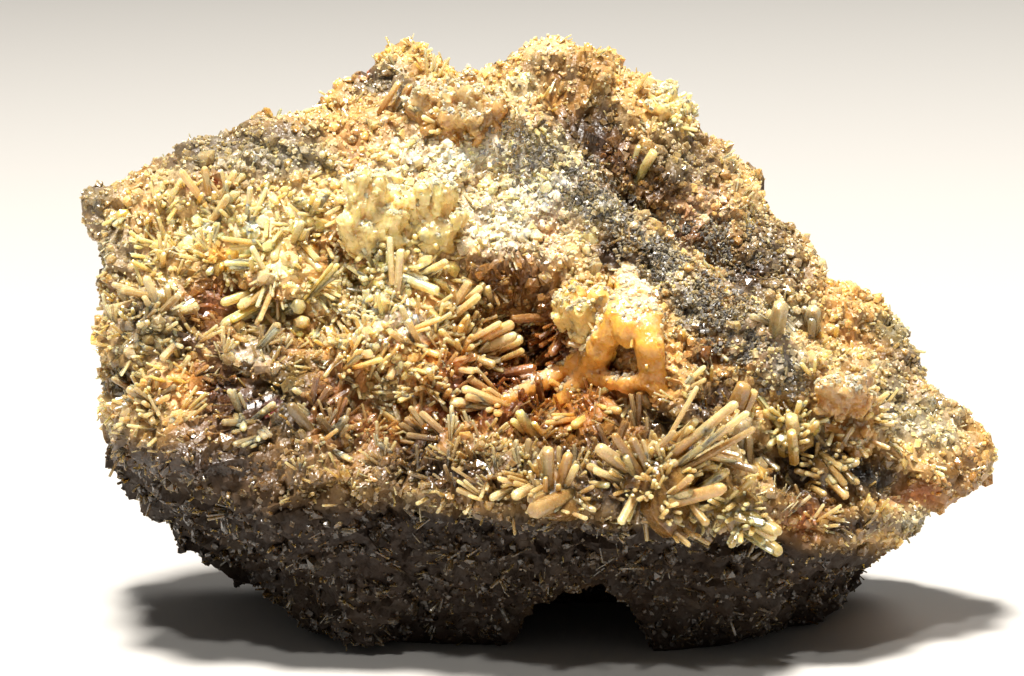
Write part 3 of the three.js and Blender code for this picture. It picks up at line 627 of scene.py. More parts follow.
def character(points, normals):
    """Columns of every point: linear red, green and blue, growth of rods, growth of grains."""
    def row(colour, rods, grains):
        return np.array([*linear(PALETTE[colour]), rods, grains])

    def blend(present, other, share):
        return present + (other - present) * share[:, None]

    seen = warped_view(points)
    result = np.tile(row(*FRONT), (len(points), 1))
    for x, h, wide, high, colour, rods, grains in PLACES.values():
        apart = ((seen[:, 0] - x) / wide) ** 2 + ((seen[:, 1] - h) / high) ** 2
        result = blend(result, row(colour, rods, grains), np.exp(-(apart**1.5)))
    for colour, across, strength in PATCHES:
        patches = strength * soft_step(smooth_noise(points + across, across), 0.1, 0.8)
        share = patches * result[:, :3].mean(axis=1) / FRONT_LIGHTNESS
        result[:, :3] = blend(result[:, :3], linear(PALETTE[colour]), share)
    result = blend(result, row(*SHADED_UNDERSIDE), underside_shade_share(points))
    return blend(result, row(*BACK), back_share(normals))


skin_character = character(skin_points, skin_normals)
print("growth of rods, mean:", skin_character[:, 3].mean().round(2))

# %% [markdown]
# ## From arrays to a mesh
# Blender can add a crystal at a time with its own operators, but twenty thousand calls take
# minutes. Filling whole arrays takes a second. A heap gathers copies of a template, and at the
# end becomes one mesh with a colour for each of its points.

# %% Heaps of copies
def new_heap():
    return {"points": [], "tints": [], "corners": [], "sizes": [], "count": 0}


def add_to_heap(heap, points, tints, faces):
    """Adds copies of a template: points and tints are (copies, corners, 3), faces are lists."""
    copies, each = points.shape[:2]
    corners = np.concatenate([np.asarray(face) for face in faces])
    starts = heap["count"] + each * np.arange(copies)
    heap["points"].append(points.reshape(-1, 3))
    heap["tints"].append(tints.reshape(-1, 3))
    heap["corners"].append((starts[:, None] + corners).ravel())
    heap["sizes"].append(np.tile([len(face) for face in faces], copies))
    heap["count"] += copies * each


def object_from(heap, name, material, sharp_from=26):
    """One object from a heap. Edges that bend by more than `sharp_from` degrees stay sharp."""
    points = (np.concatenate(heap["points"]) + STANDS_AT) * MILLIMETRE
    corners = np.concatenate(heap["corners"])
    sizes = np.concatenate(heap["sizes"])
    mesh = bpy.data.meshes.new(name)
    mesh.vertices.add(len(points))
    mesh.vertices.foreach_set("co", points.ravel())
    mesh.loops.add(len(corners))
    mesh.loops.foreach_set("vertex_index", corners.astype(np.int32))
    mesh.polygons.add(len(sizes))
    mesh.polygons.foreach_set("loop_start", (np.cumsum(sizes) - sizes).astype(np.int32))
    mesh.update(calc_edges=True)
    tint = mesh.color_attributes.new("tint", "FLOAT_COLOR", "POINT")
    tints = np.concatenate(heap["tints"]).clip(0, 1)
    tint.data.foreach_set("color", np.column_stack([tints, np.ones(len(tints))]).ravel())
    mesh.shade_smooth()
    mesh.set_sharp_from_angle(angle=math.radians(sharp_from))
    mesh.materials.append(material)
    made = bpy.data.objects.new(name, mesh)
    bpy.context.scene.collection.objects.link(made)
    return made


ROUNDED = 34  # crystals whose edges are rounded off are shaded smooth up to this bend


def triangles_of(piece):
    sizes = np.empty(len(piece.data.polygons), np.int32)
    piece.data.polygons.foreach_get("loop_total", sizes)
    return int((sizes - 2).sum())


def piece_from(heap, name, material, sharp_from=26):
    """A piece of the specimen, which stands still with it."""
    piece = object_from(heap, name, material, sharp_from)
    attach(piece, "root")
    print(name, "has", triangles_of(piece), "triangles")
    return piece


# %% [markdown]
# ## Materials
# Mimetite is a lead mineral with a resinous, almost diamond-like shine: it bends light about
# as strongly as zircon. It isn't clear like glass, but light soaks into it and comes out
# yellow. The shader has that as a high index of refraction for the shine and a little
# subsurface scattering for the glow. Only the crystals let a seventh of the light straight
# through. The colour itself is the tint of each point, with a fine mottling on top. Everything
# glitters a little, and the crust and the druse most, for they are covered with crystals too
# small to see, and each mirrors the light its own way. Cells of a Voronoi texture stand for
# them: every cell tilts the surface in a direction of its own.

# %% Shader building blocks
FACETS_PER_METRE = 6200  # a facet is about a sixth of a millimetre across
MOTTLE_SCALE, MOTTLE_SPAN = 1100, (0.78, 1.12)
ROUGHNESS_SCALE = 2300
NOISE_SPAN = (0.3, 0.7)  # nearly all values of a noise texture lie between these
BUMP_STRENGTH = 0.6
COAT_ROUGHNESS = 0.06
GLOW_RADII = (1.0, 0.75, 0.42)  # red light spreads farthest inside the mineral


def mineral(
    name, roughness, bump_height, bump_scale, ior, glitter, glow=0.0, glow_depth=0.0008, coat=0.0,
    clear=0.0,
):
    """A material that takes the tint of the mesh, mottled, with a rough, bumpy surface.

    Its surface is a mosaic of tiny facets, and glitter is how far each is tilted its own way.
    """
    material = bpy.data.materials.new(name)
    material.use_nodes = True
    nodes, links = material.node_tree.nodes, material.node_tree.links
    shader = nodes["Principled BSDF"]
    tint = nodes.new("ShaderNodeAttribute")
    tint.attribute_name = "tint"
    place = nodes.new("ShaderNodeTexCoord")

    def noise(scale, detail):
        node = nodes.new("ShaderNodeTexNoise")
        node.inputs["Scale"].default_value = scale
        node.inputs["Detail"].default_value = detail
        links.new(place.outputs["Object"], node.inputs["Vector"])
        return node.outputs["Fac"]

    def spread(value, low, high):
        node = nodes.new("ShaderNodeMapRange")
        node.inputs["From Min"].default_value = NOISE_SPAN[0]
        node.inputs["From Max"].default_value = NOISE_SPAN[1]
        node.inputs["To Min"].default_value = low
        node.inputs["To Max"].default_value = high
        links.new(value, node.inputs["Value"])
        return node.outputs["Result"]

    def of_vectors(operation, first, second=None):
        node = nodes.new("ShaderNodeVectorMath")
        node.operation = operation
        links.new(first, node.inputs[0])
        if isinstance(second, tuple):
            node.inputs[1].default_value = second
        elif second is not None:
            links.new(second, node.inputs[1])
        return node.outputs["Vector"]

    mottle = nodes.new("ShaderNodeMix")
    mottle.data_type = "RGBA"
    mottle.blend_type = "MULTIPLY"
    mottle.inputs["Factor"].default_value = 1.0
    links.new(tint.outputs["Color"], mottle.inputs["A"])
    links.new(spread(noise(MOTTLE_SCALE, 3), *MOTTLE_SPAN), mottle.inputs["B"])
    links.new(mottle.outputs["Result"], shader.inputs["Base Color"])
    links.new(spread(noise(ROUGHNESS_SCALE, 2), *roughness), shader.inputs["Roughness"])
    bump = nodes.new("ShaderNodeBump")
    bump.inputs["Strength"].default_value = BUMP_STRENGTH
    bump.inputs["Distance"].default_value = bump_height
    links.new(noise(bump_scale, 2), bump.inputs["Height"])
    facets = nodes.new("ShaderNodeTexVoronoi")
    facets.inputs["Scale"].default_value = FACETS_PER_METRE
    links.new(place.outputs["Object"], facets.inputs["Vector"])
    tilt = of_vectors("SUBTRACT", facets.outputs["Color"], (0.5, 0.5, 0.5))
    tilt = of_vectors("MULTIPLY", tilt, (glitter, glitter, glitter))
    normal = of_vectors("NORMALIZE", of_vectors("ADD", bump.outputs["Normal"], tilt))
    links.new(normal, shader.inputs["Normal"])
    shader.inputs["IOR"].default_value = ior
    shader.inputs["Subsurface Weight"].default_value = glow
    shader.inputs["Subsurface Scale"].default_value = glow_depth
    shader.inputs["Subsurface Radius"].default_value = GLOW_RADII
    shader.inputs["Transmission Weight"].default_value = clear
    shader.inputs["Coat Weight"].default_value = coat
    shader.inputs["Coat Roughness"].default_value = COAT_ROUGHNESS
    return material


print("facets are", round(1000 / FACETS_PER_METRE, 2), "mm across")

# %% Finishes
crystal_finish = mineral(
    "mimetite", (0.12, 0.36), 0.00005, 4600, ior=1.75, glitter=0.18, glow=0.9, glow_depth=0.0013,
    coat=0.1, clear=0.14,
)
crust_finish = mineral(
    "mimetite_crust", (0.16, 0.42), 0.00008, 4200, ior=1.7, glitter=0.8, glow=0.7, glow_depth=0.0009,
    coat=0.12,
)
rock_finish = mineral(
    "iron_stained_rock", (0.3, 0.6), 0.0001, 3600, ior=1.6, glitter=0.6, glow=0.4, glow_depth=0.0006,
    coat=0.1,
)
dull_finish = mineral("dull_rock", (0.55, 0.85), 0.00014, 3600, ior=1.45, glitter=0.2)
druse_finish = mineral(
    "druse", (0.2, 0.5), 0.00004, 4200, ior=1.65, glitter=0.6, glow=0.5, glow_depth=0.0006, coat=0.15
)
massive_finish = mineral(
    "massive_mimetite", (0.2, 0.45), 0.00012, 2600, ior=1.7, glitter=0.35, glow=0.75,
    glow_depth=0.0016, coat=0.1,
)
print("materials:", [material.name for material in bpy.data.materials if material.use_nodes])

# %% [markdown]
# ## The block of ore
# The skin becomes the first piece. Its colour is a little darker than what grows on it, partly dirt between
# the crystals and partly painted shade. The painted shade is darkest where the chips lie low and in the
# hollows, where stain adds to it. Some chips are frosted with pale, fine crystals.

# %% The block
TIP_COLOUR = (0.98, 0.91, 0.71)
# How much red, green and blue the painted amber shade keeps.
AMBER_SHADE = (0.62, 0.42, 0.21)  # red, green and blue light that thick mineral lets through


def amber_shade(colours, share):
    """Painted shade: darker and warmer, in the amber of light that has passed through more of the mineral.
    """
    return colours * np.array(AMBER_SHADE) ** share


def towards_cream(colours, share):
    """Paler and yellower, but less so where the mineral is dark."""
    lightness = (colours.mean(axis=-1, keepdims=True) / 0.25).clip(0.08, 1)
    return colours + (linear(TIP_COLOUR) - colours) * share * lightness


block_heap = new_heap()

# Dips and hollows are darkened with painted shade, clouds and chips vary the colour, and frost lies on some
# chips.
low_share = soft_step(-relief, -0.8, 1.6)[:, None]
cloud = 1 + 0.2 * smooth_noise(skin_points, 2.3)[:, None] + 0.25 * chips(skin_points + 17, 1.7)[:, None]
frosted = soft_step(chips(skin_points + 29, 1.3), 0.1, 0.7)[:, None]
# The ground between the crystals is darker: partly dirt, partly painted shade.
ground_share = 0.72 + 0.2 * skin_character[:, 3:4].clip(0, 1)
hollow = hollow_share(skin_points)[:, None]
block_tint = skin_character[:, :3] * ground_share
block_tint = towards_cream(block_tint, 0.2 * frosted * (1 - hollow) * skin_character[:, 4:5])
block_tint = amber_shade(block_tint, 0.3 * low_share + 0.45 * hollow)
block_tint = block_tint * (1 - 0.35 * hollow) * cloud.clip(0.6, 1.4)
add_to_heap(block_heap, skin_points[None], block_tint[None], list(skin_quads))
ore_block = piece_from(block_heap, "ore_block", rock_finish, sharp_from=40)
dull = np.maximum(underside_shade_share(skin_points), back_share(skin_normals))[skin_quads].mean(axis=1) > 0.5
ore_block.data.materials.append(dull_finish)
ore_block.data.polygons.foreach_set("material_index", dull.astype(np.int32))
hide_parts("matrix")

# %% [markdown]
# ## One crystal
# A mimetite crystal is a six-sided prism. The free end is blunt, often rounded like a worn
# pencil. A crystal here is rings of corners along its axis, closed at the foot and drawn to a
# point at the tip. Big ones have chamfered edges, so that they catch the light as real ones
# do; the smallest are plain, because their edges are thinner than a pixel.

# %% Templates
def template(chamfer, rings):
    """Ring section, rings as (share of length, radii back from the tip, share of radius), faces."""
    beside = (-1, 1) if chamfer else (0,)
    angles = [math.radians(60 * n + side * chamfer) for n in range(6) for side in beside]
    inset = math.cos(math.radians(30)) / math.cos(math.radians(30 - chamfer))
    section = inset * np.array([(math.cos(angle), math.sin(angle)) for angle in angles])
    sides = len(section)
    faces = [list(range(sides))[::-1]]
    for ring in range(len(rings) - 1):
        for n in range(sides):
            low, high, after = ring * sides, (ring + 1) * sides, (n + 1) % sides
            faces.append([low + n, low + after, high + after, high + n])
    last = (len(rings) - 1) * sides
    faces += [[last + n, last + (n + 1) % sides, last + sides] for n in range(sides)]
    return {"section": section, "rings": np.array(rings), "faces": faces}


STOUT = template(6, [(0, 0, 0.94), (0.5, 0, 1), (1, 0.9, 0.93), (1, 0.42, 0.78), (1, 0.12, 0.46)])
MIDDLING = template(0, [(0, 0, 0.92), (1, 0.9, 0.95), (1, 0.3, 0.7)])
SLENDER = template(0, [(0, 0, 1), (1, 0.5, 0.86)])
print("triangles of a stout crystal:", sum(len(face) - 2 for face in STOUT["faces"]))

# %% Growth
UNEVEN = 0.04  # how far a ring strays from the axis, as a share of its radius


def square_to(directions):
    """Two directions square to each direction and to each other."""
    steep = np.abs(directions[:, 2:]) > 0.8
    helper = np.where(steep, [[1.0, 0.0, 0.0]], [[0.0, 0.0, 1.0]])
    across = unit(np.cross(helper, directions))
    return across, np.cross(directions, across)


def grow(heap, shape, random, feet, directions, lengths, widths, colours, sink=0.6, palest=0.75):
    """Adds crystals to a heap. Their feet are darkened with painted shade and their tips pale."""
    count = len(feet)
    lengths, widths = np.broadcast_to(lengths, count), np.broadcast_to(widths, count)
    across, upward = square_to(directions)
    spin = random.uniform(0, 2 * math.pi, count)[:, None]
    section = shape["section"]
    turned_x = np.cos(spin) * section[:, 0] - np.sin(spin) * section[:, 1]
    turned_y = np.sin(spin) * section[:, 0] + np.cos(spin) * section[:, 1]
    rings = shape["rings"]
    radius = (widths / 2)[:, None]
    blunt = random.uniform(0.45, 1.25, (count, 1))
    along = lengths[:, None] * rings[:, 0] - rings[:, 1] * blunt * radius
    along[:, 0] = -sink
    size = radius * rings[:, 2] * random.normal(1, 0.025, (count, len(rings)))
    stray = radius[..., None] * random.normal(0, UNEVEN, (count, len(rings), 2))
    flat = random.uniform(0.7, 1, (count, 1, 1))
    aside = size[..., None] * turned_x[:, None] + stray[..., :1]
    above = size[..., None] * turned_y[:, None] * flat + stray[..., 1:]
    corners = (
        feet[:, None, None]
        + along[..., None, None] * directions[:, None, None]
        + aside[..., None] * across[:, None, None]
        + above[..., None] * upward[:, None, None]
    ).reshape(count, -1, 3)
    tips = (feet + lengths[:, None] * directions)[:, None]
    share = np.clip(along / lengths[:, None], 0, 1).repeat(len(section), axis=1)
    share = np.column_stack([share, np.ones(count)])[..., None]
    pale = towards_cream(colours, palest * random.uniform(0.2, 1, (count, 1)))
    # Painted shade at the feet, a paler colour towards the tips.
    tints = amber_shade(colours, 0.6)[:, None] * (1 - share) + pale[:, None] * share
    tints = tints * random.uniform(0.8, 1.15, (count, 1, 1))
    add_to_heap(heap, np.concatenate([corners, tips], axis=1), tints, shape["faces"])


print("an upright crystal is drawn square to", square_to(np.array([[0.0, 0.0, 1.0]]))[0].round(2))

# %% [markdown]
# ## Where a crystal stands, and where it points
# Crystals that stand out in the photograph are placed one by one: x and h of the foot, the turn
# in the picture and the lift out of it, the length and the width. The foot goes where the line
# of sight meets the skin, so it looks right from every side.

# %% Seen directions
NORMAL_STEP = 0.012  # how far apart, in radians, the places are that a slope is measured from
LEAST_OUTWARD = 0.4  # the least share of a crystal's direction that points out of the skin


def skin_slope(points):
    """Outward normals of the smooth skin near points."""
    out = unit(points - HEART)
    side = unit(np.cross([0.0, 0.0, 1.0], out))
    rise = np.cross(out, side)

    def near(a, b):
        way = unit(out + a * side + b * rise)
        return HEART + way * skin_reach(way)[..., None]

    across = near(NORMAL_STEP, 0) - near(-NORMAL_STEP, 0)
    upward = near(0, NORMAL_STEP) - near(0, -NORMAL_STEP)
    return unit(np.cross(across, upward))


def seen_directions(turn, lift, normals):
    """Directions from turn and lift in degrees, bent outwards where they run into the skin."""
    turn, lift = np.radians(turn)[:, None], np.radians(lift)[:, None]
    flat = np.cos(turn) * TO_RIGHT + np.sin(turn) * UP_IN_VIEW
    direction = np.cos(lift) * flat + np.sin(lift) * TO_VIEWER
    outward = (direction * normals).sum(axis=-1, keepdims=True)
    return unit(direction + np.clip(LEAST_OUTWARD - outward, 0, None) * normals)


def standing(rows):
    """Rows of x, h, turn, lift, length, width as feet, directions, lengths, widths, normals."""
    rows = np.array(rows, float)
    feet = sight_meets(rows[:, :2], skin_reach)
    normals = skin_slope(feet)
    return feet, seen_directions(rows[:, 2], rows[:, 3], normals), rows[:, 4], rows[:, 5], normals


taken_lines = []  # feet, tips and radii of what is placed one by one: nothing is scattered through it
print("a crystal in the middle of the front has its foot at", standing([(0, 24, 0, 90, 1, 1)])[0].round(1))

# %% [markdown]
# ## Bits
# Grains and lumps of crust are bits: twenty-sided ones or little boxes, pushed out of shape and
# turned at random, so that their faces catch the light one by one.

# %% Bits of crust
GOLDEN = (1 + math.sqrt(5)) / 2
SIGNS = [(a, b) for a in (-1, 1) for b in (-1, 1)]
LUMP_CORNERS = np.array(
    [corner for a, b in SIGNS for corner in ((0, a, b * GOLDEN), (a, b * GOLDEN, 0), (b * GOLDEN, 0, a))]
)
LUMP_FACES = []
for first, second, third in combinations(range(12), 3):
    three = LUMP_CORNERS[[first, second, third]]
    if all(abs(np.linalg.norm(three[n] - three[n - 1]) - 2) < 0.01 for n in range(3)):
        outward = np.linalg.det(three) > 0
        LUMP_FACES.append((first, second, third) if outward else (first, third, second))
BOX_CORNERS = np.array([(x, y, z) for z in (-1, 1) for y in (-1, 1) for x in (-1, 1)], float)
BOX_FACES = [(0, 2, 3, 1), (4, 5, 7, 6), (0, 1, 5, 4), (2, 6, 7, 3), (0, 4, 6, 2), (1, 3, 7, 5)]
LUMP = (LUMP_CORNERS / GOLDEN, LUMP_FACES)
BOX = (BOX_CORNERS, BOX_FACES)


def turned(random, count):
    """Random rotation matrices, from random unit quaternions."""
    w, x, y, z = unit(random.normal(0, 1, (count, 4))).T
    return np.stack(
        [
            np.stack([1 - 2 * (y * y + z * z), 2 * (x * y - z * w), 2 * (x * z + y * w)], axis=-1),
            np.stack([2 * (x * y + z * w), 1 - 2 * (x * x + z * z), 2 * (y * z - x * w)], axis=-1),
            np.stack([2 * (x * z - y * w), 2 * (y * z + x * w), 1 - 2 * (x * x + y * y)], axis=-1),
        ],
        axis=1,
    )


def add_bits(heap, bit, random, points, normals, sizes, colours, above, thin=1.0):
    """Adds misshapen bits, their middles this share of their size above the skin."""
    count = len(points)
    corners, faces = bit
    shapes = corners * random.uniform(0.8, 1.0, (count, len(corners), 1))
    shapes = shapes + random.normal(0, 0.13, shapes.shape)
    shapes = shapes * (sizes[:, None] * random.uniform(0.65, 1.2, (count, 3)) * (1, 1, thin))[:, None] / 2
    places = np.einsum("nij,nkj->nki", turned(random, count), shapes)
    places = places + (points + normals * (above * sizes)[:, None])[:, None]
    places[..., 2] = np.maximum(places[..., 2], 0.02)
    tints = colours[:, None] * random.uniform(0.85, 1.12, (count, len(corners), 1))
    add_to_heap(heap, places, tints, faces)


print("faces of a lump:", len(LUMP_FACES), "and of a box:", len(BOX_FACES))

# %% [markdown]
# ## Clusters
# These are the eighteen clusters of the frame, with the same feet, directions and sizes. Each
# stands on a small lump of crust. Beside each crystal grow companions of the same kind, so that
# a cluster doesn't look like pins in a cushion: a few in a loose spray, many in a massive one.
# The crystals of a massive cluster are grown into each other. A voxel remesh melts them together
# in the same way, a smoothing rounds them, and chips and a dusting of fine grains on the crests
# give back some grain.

# %% The clusters of the frame
# Each cluster: the radius of its crust, its colour, the companions of each crystal, the crystals.
CLUSTERS = {
    "sheaf_of_rods": (
        2.6, "olive honey", 2,
        [
            (10.4, 15.6, 40, 20, 7.8, 0.9),
            (11, 15, 38, 30, 8.5, 0.8),
            (11.2, 14.5, 31, 20, 7.7, 0.8),
            (11.4, 16.6, 35, 45, 4.5, 1.1),
        ],
    ),
    "bright_fan": (
        2, "olive honey", 2,
        [
            (8, 14.7, 144, 25, 4, 1.3),
            (9.4, 14.4, 117, 25, 3.8, 0.9),
            (8.8, 14.2, 124, 35, 5.3, 0.8),
            (8.4, 13.6, -118, 40, 4.1, 0.8),
        ],
    ),
    "brow_spray": (
        2.8, "olive honey", 2,
        [
            (0.3, 13.9, -132, 25, 4, 1),
            (3.6, 13.8, -12, 20, 2.6, 0.7),
            (0.9, 13.2, 89, 30, 4, 1.2),
            (1.9, 13.4, 76, 35, 3.6, 0.9),
            (2.8, 13, -141, 20, 4.8, 1.6),
        ],
    ),
    "right_brow_spray": (
        2.8, "olive honey", 2,
        [
            (9.8, 11.9, 25, 20, 6.5, 1.3),
            (13, 13.1, 36, 35, 3.8, 1.1),
            (9.8, 11.5, -18, 30, 2.4, 0.9),
            (12.5, 12.5, -54, 35, 2.8, 0.8),
        ],
    ),
    "yellow_green_rods": (
        1.8, "yellow green", 2,
        [
            (16.5, 11.7, -26, 25, 4.3, 1.4),
            (17.1, 11, -33, 25, 3.1, 1.1),
            (16, 12.4, 50, 40, 3.3, 0.8),
        ],
    ),
    "fat_barrel": (
        1.8, "yellow green", 2,
        [
            (21.2, 17.4, 101, 20, 2.9, 1.7),
            (20.2, 18.8, 150, 35, 2.4, 0.8),
            (22, 17.8, 49, 45, 2.1, 0.8),
        ],
    ),
    "orange_blocks": (
        2.8, "ochre", 9,
        [
            (24.7, 20.4, 127, 45, 3.5, 1.6),
            (25.5, 20.6, 63, 35, 2.8, 1.4),
            (25.7, 18.2, -60, 50, 2.6, 1.3),
            (26.6, 18.9, 95, 30, 2.6, 0.8),
            (27.1, 19.1, 82, 30, 2.4, 0.8),
        ],
    ),
    "yellow_blocks": (
        1.6, "yellow", 10,
        [
            (3.7, 28, 111, 45, 2.9, 2.2),
            (4.9, 27.9, 78, 40, 2.6, 1.4),
            (4, 27.1, -103, 45, 2.2, 1.6),
        ],
    ),
    "vug_lip_rods": (
        1.8, "honey", 1,
        [
            (-5.7, 25.2, 25, 20, 4.4, 1),
            (-4.9, 24.7, 23, 30, 4, 1.1),
            (-5.6, 24.3, -18, 30, 2.6, 0.8),
            (-6.6, 25, 131, 40, 2.5, 0.8),
        ],
    ),
    "blade_fan": (
        1.6, "yellow cream", 9,
        [
            (-8.8, 33.9, 98, 30, 5.1, 1.4),
            (-8.3, 33.9, 86, 35, 5.6, 1.3),
            (-7.7, 34.2, 74, 25, 4.4, 1.1),
            (-8.9, 34, 114, 20, 3.5, 0.8),
        ],
    ),
    "yellow_mass": (
        2, "yellow cream", 12,
        [
            (-13.6, 34.4, 97, 40, 6.4, 1.8),
            (-13, 34.5, 88, 35, 5.6, 1.6),
            (-12.5, 34.9, 55, 45, 3.7, 1.5),
            (-12.9, 34.6, -23, 30, 3.1, 1.1),
        ],
    ),
    "cream_rods": (
        1.8, "cream", 4,
        [
            (-12, 31.1, -22, 20, 4.7, 1.1),
            (-13.2, 31.5, 119, 35, 2.5, 0.8),
            (-12, 30.5, -107, 40, 2.4, 0.8),
        ],
    ),
    "top_blocks": (
        2.8, "dull yellow", 10,
        [
            (-7, 44, 94, 40, 3, 2.3),
            (-4.9, 44.1, 85, 40, 2.8, 2),
            (-9, 43.8, 104, 35, 2.8, 1.6),
            (-5.5, 43, 9, 45, 3.1, 1.1),
        ],
    ),
    "left_blades": (
        1.8, "yellow cream", 4,
        [
            (-21.7, 28.8, -154, 20, 4.8, 1.3),
            (-22.6, 29.8, -160, 20, 3.6, 0.9),
            (-21.2, 28.3, -119, 30, 2.6, 0.8),
            (-20.4, 28.2, 20, 50, 2.6, 1.4),
        ],
    ),
    "grey_green_prisms": (
        2, "grey tan", 4,
        [
            (-18, 17.4, 126, 25, 4, 1.2),
            (-17.7, 18.6, 145, 25, 3, 0.9),
            (-17, 17.5, 51, 35, 2.8, 0.8),
        ],
    ),
    "left_end_rods": (
        2, "tan", 4,
        [
            (-31.4, 20.1, 142, 25, 2.8, 0.8),
            (-31.9, 21.2, 56, 25, 2.4, 0.8),
            (-32.8, 21.4, 150, 20, 2.4, 0.7),
            (-31.7, 19.6, -58, 35, 2.2, 0.7),
        ],
    ),
    "crown_crystals": (
        1.8, "yellow cream", 9,
        [
            (10.7, 44.6, 77, 40, 2.2, 1.5),
            (12, 43.6, 81, 45, 2, 1.2),
            (10.2, 43.8, 143, 45, 2.4, 0.9),
        ],
    ),
    "lower_right_rods": (
        1.8, "olive honey", 4,
        [
            (24, 16, -43, 25, 3.4, 0.9),
            (23.7, 14.4, -51, 25, 3, 0.9),
            (24.4, 15, 20, 40, 2.6, 0.8),
        ],
    ),
}

print("clusters:", len(CLUSTERS), "of", sum(len(rows) for *_, rows in CLUSTERS.values()), "crystals")

# %% Colours of crystals
dice = np.random.default_rng(11)


def varied(colours, random, group):
    """Colours that differ a little in warmth and lightness from group to group."""
    chance = random.normal(0, 1, (group.max() + 1, 2)).clip(-1.5, 2)[group]
    warmth = 0.1 * (chance[:, :1] + 0.5) * np.array([[0.5, 0.0, -1.6]])
    return (colours * (1 + warmth) * (1 + 0.12 * chance[:, 1:]).clip(0.6, 1.4)).clip(0.004, 1)


def colours_on(points, normals, random, paler=0.15, group=None):
    """Colours of what grows at points: darker in the hollows, partly stain and partly painted shade, and
    frosted where grains are thick.
    """
    low = hollow_share(points)[:, None]
    present = character(points, normals)
    frost = paler * (0.5 + 0.6 * present[:, 4:5]).clip(0, 1.6)
    colours = towards_cream(present[:, :3], frost * (1 - low))
    colours = varied(colours, random, np.arange(len(points)) if group is None else group)
    return amber_shade(colours, 0.6 * low) * (1 - 0.45 * low)


def own_colours(colour, count, random):
    """Colours of crystals that are placed by hand, varied one by one."""
    return varied(np.tile(linear(PALETTE[colour]), (count, 1)), random, np.arange(count))


print("one honey crystal is", own_colours("honey", 1, np.random.default_rng(0)).round(2))

# %% Crust and companions
CRUST_RINGS = [(-1.4, 0.85), (0.1, 1.0), (0.45, 0.75), (0.62, 0.4)]  # height, share of radius
CRUST_TOP = 0.66
CRUST_SIDES = 18
COMPANIONS = 3
MASSIVE_FROM = 9  # clusters with this many companions or more are melted into one mass


def add_crust(heap, centre, normal, radius, colour, random):
    """A low lump of crust below a cluster."""
    sides = CRUST_SIDES
    across, upward = (way[0] for way in square_to(normal[None]))
    angle = np.linspace(0, 2 * math.pi, sides, endpoint=False)
    outline = np.cos(angle)[:, None] * across + np.sin(angle)[:, None] * upward
    points = [
        centre + normal * height + outline * radius * share * random.uniform(0.9, 1.08, (sides, 1))
        for height, share in CRUST_RINGS
    ]
    points = np.concatenate([*points, [centre + normal * CRUST_TOP]])
    points = points + normal * 0.3 * chips(points, 0.9)[:, None]
    faces = [list(range(sides))[::-1]]
    for ring in range(len(CRUST_RINGS) - 1):
        low, high = ring * sides, (ring + 1) * sides
        faces += [[low + n, low + (n + 1) % sides, high + (n + 1) % sides, high + n] for n in range(sides)]
    last = (len(CRUST_RINGS) - 1) * sides
    faces += [[last + n, last + (n + 1) % sides, last + sides] for n in range(sides)]
    # The crust below a cluster gets a little painted shade.
    tints = np.tile(amber_shade(colour, 0.3), (len(points), 1)) * random.uniform(0.8, 1.1, (len(points), 1))
    add_to_heap(heap, points[None], tints[None], faces)


def add_companions(heap, random, feet, directions, lengths, widths, colours, companions=COMPANIONS):
    """Thinner, shorter crystals that have grown side by side with each of the big ones."""
    least, greatest = (0.75, 1.15) if companions >= MASSIVE_FROM else (0.4, 0.8)
    each = np.repeat(np.arange(len(feet)), companions)
    apart = 0.36 + 0.02 * companions
    beside = random.normal(0, apart, (len(each), 3)).clip(-0.8, 0.8) * widths[each, None]
    beside = beside - (beside * directions[each]).sum(axis=-1, keepdims=True) * directions[each]
    ways = unit(directions[each] + random.normal(0, 0.13, beside.shape))
    shorter = lengths[each] * random.uniform(0.35, 0.95, len(each))
    thinner = widths[each] * random.uniform(least, greatest, len(each))
    grow(heap, MIDDLING, random, feet[each] + beside, ways, shorter, thinner, colours[each])


massive_clusters = [name for name, row in CLUSTERS.items() if row[2] >= MASSIVE_FROM]
print("massive clusters:", len(massive_clusters))

# %% Melting a massive cluster
VOXEL = 0.17
SOFTENING = (4, 0.6)  # how often, and how strongly each time, the melted mesh is smoothed
SUGAR_PER_MASS = 420  # fine grains on each melted mass


def melted(heap):
    """Points and quads of a heap whose crystals are melted together by a voxel remesh."""
    rough = object_from(heap, "before_melting", massive_finish)
    melt = rough.modifiers.new("melt", "REMESH")
    melt.mode = "VOXEL"
    melt.voxel_size = VOXEL * MILLIMETRE
    soften = rough.modifiers.new("soften", "SMOOTH")
    soften.iterations, soften.factor = SOFTENING
    mesh = rough.evaluated_get(bpy.context.evaluated_depsgraph_get()).to_mesh()
    points = np.empty(len(mesh.vertices) * 3)
    mesh.vertices.foreach_get("co", points)
    quads = np.array([tuple(polygon.vertices) for polygon in mesh.polygons])
    bpy.data.objects.remove(rough)
    return points.reshape(-1, 3) / MILLIMETRE - STANDS_AT, quads


def add_sugar(heap, points, normals, tints, count, random):
    """Fine pale grains on the points that face upwards."""
    chance = np.clip(normals @ UP_IN_VIEW - 0.1 + 0.6 * smooth_noise(points, 1.3), 0, 1)
    sites = random.choice(len(points), count, p=chance / chance.sum())
    sizes = random.uniform(0.12, 0.34, count)
    colours = towards_cream(tints[sites], random.uniform(0.2, 0.8, (count, 1)))
    add_bits(heap, BOX, random, points[sites], normals[sites], sizes, colours, 0.15)


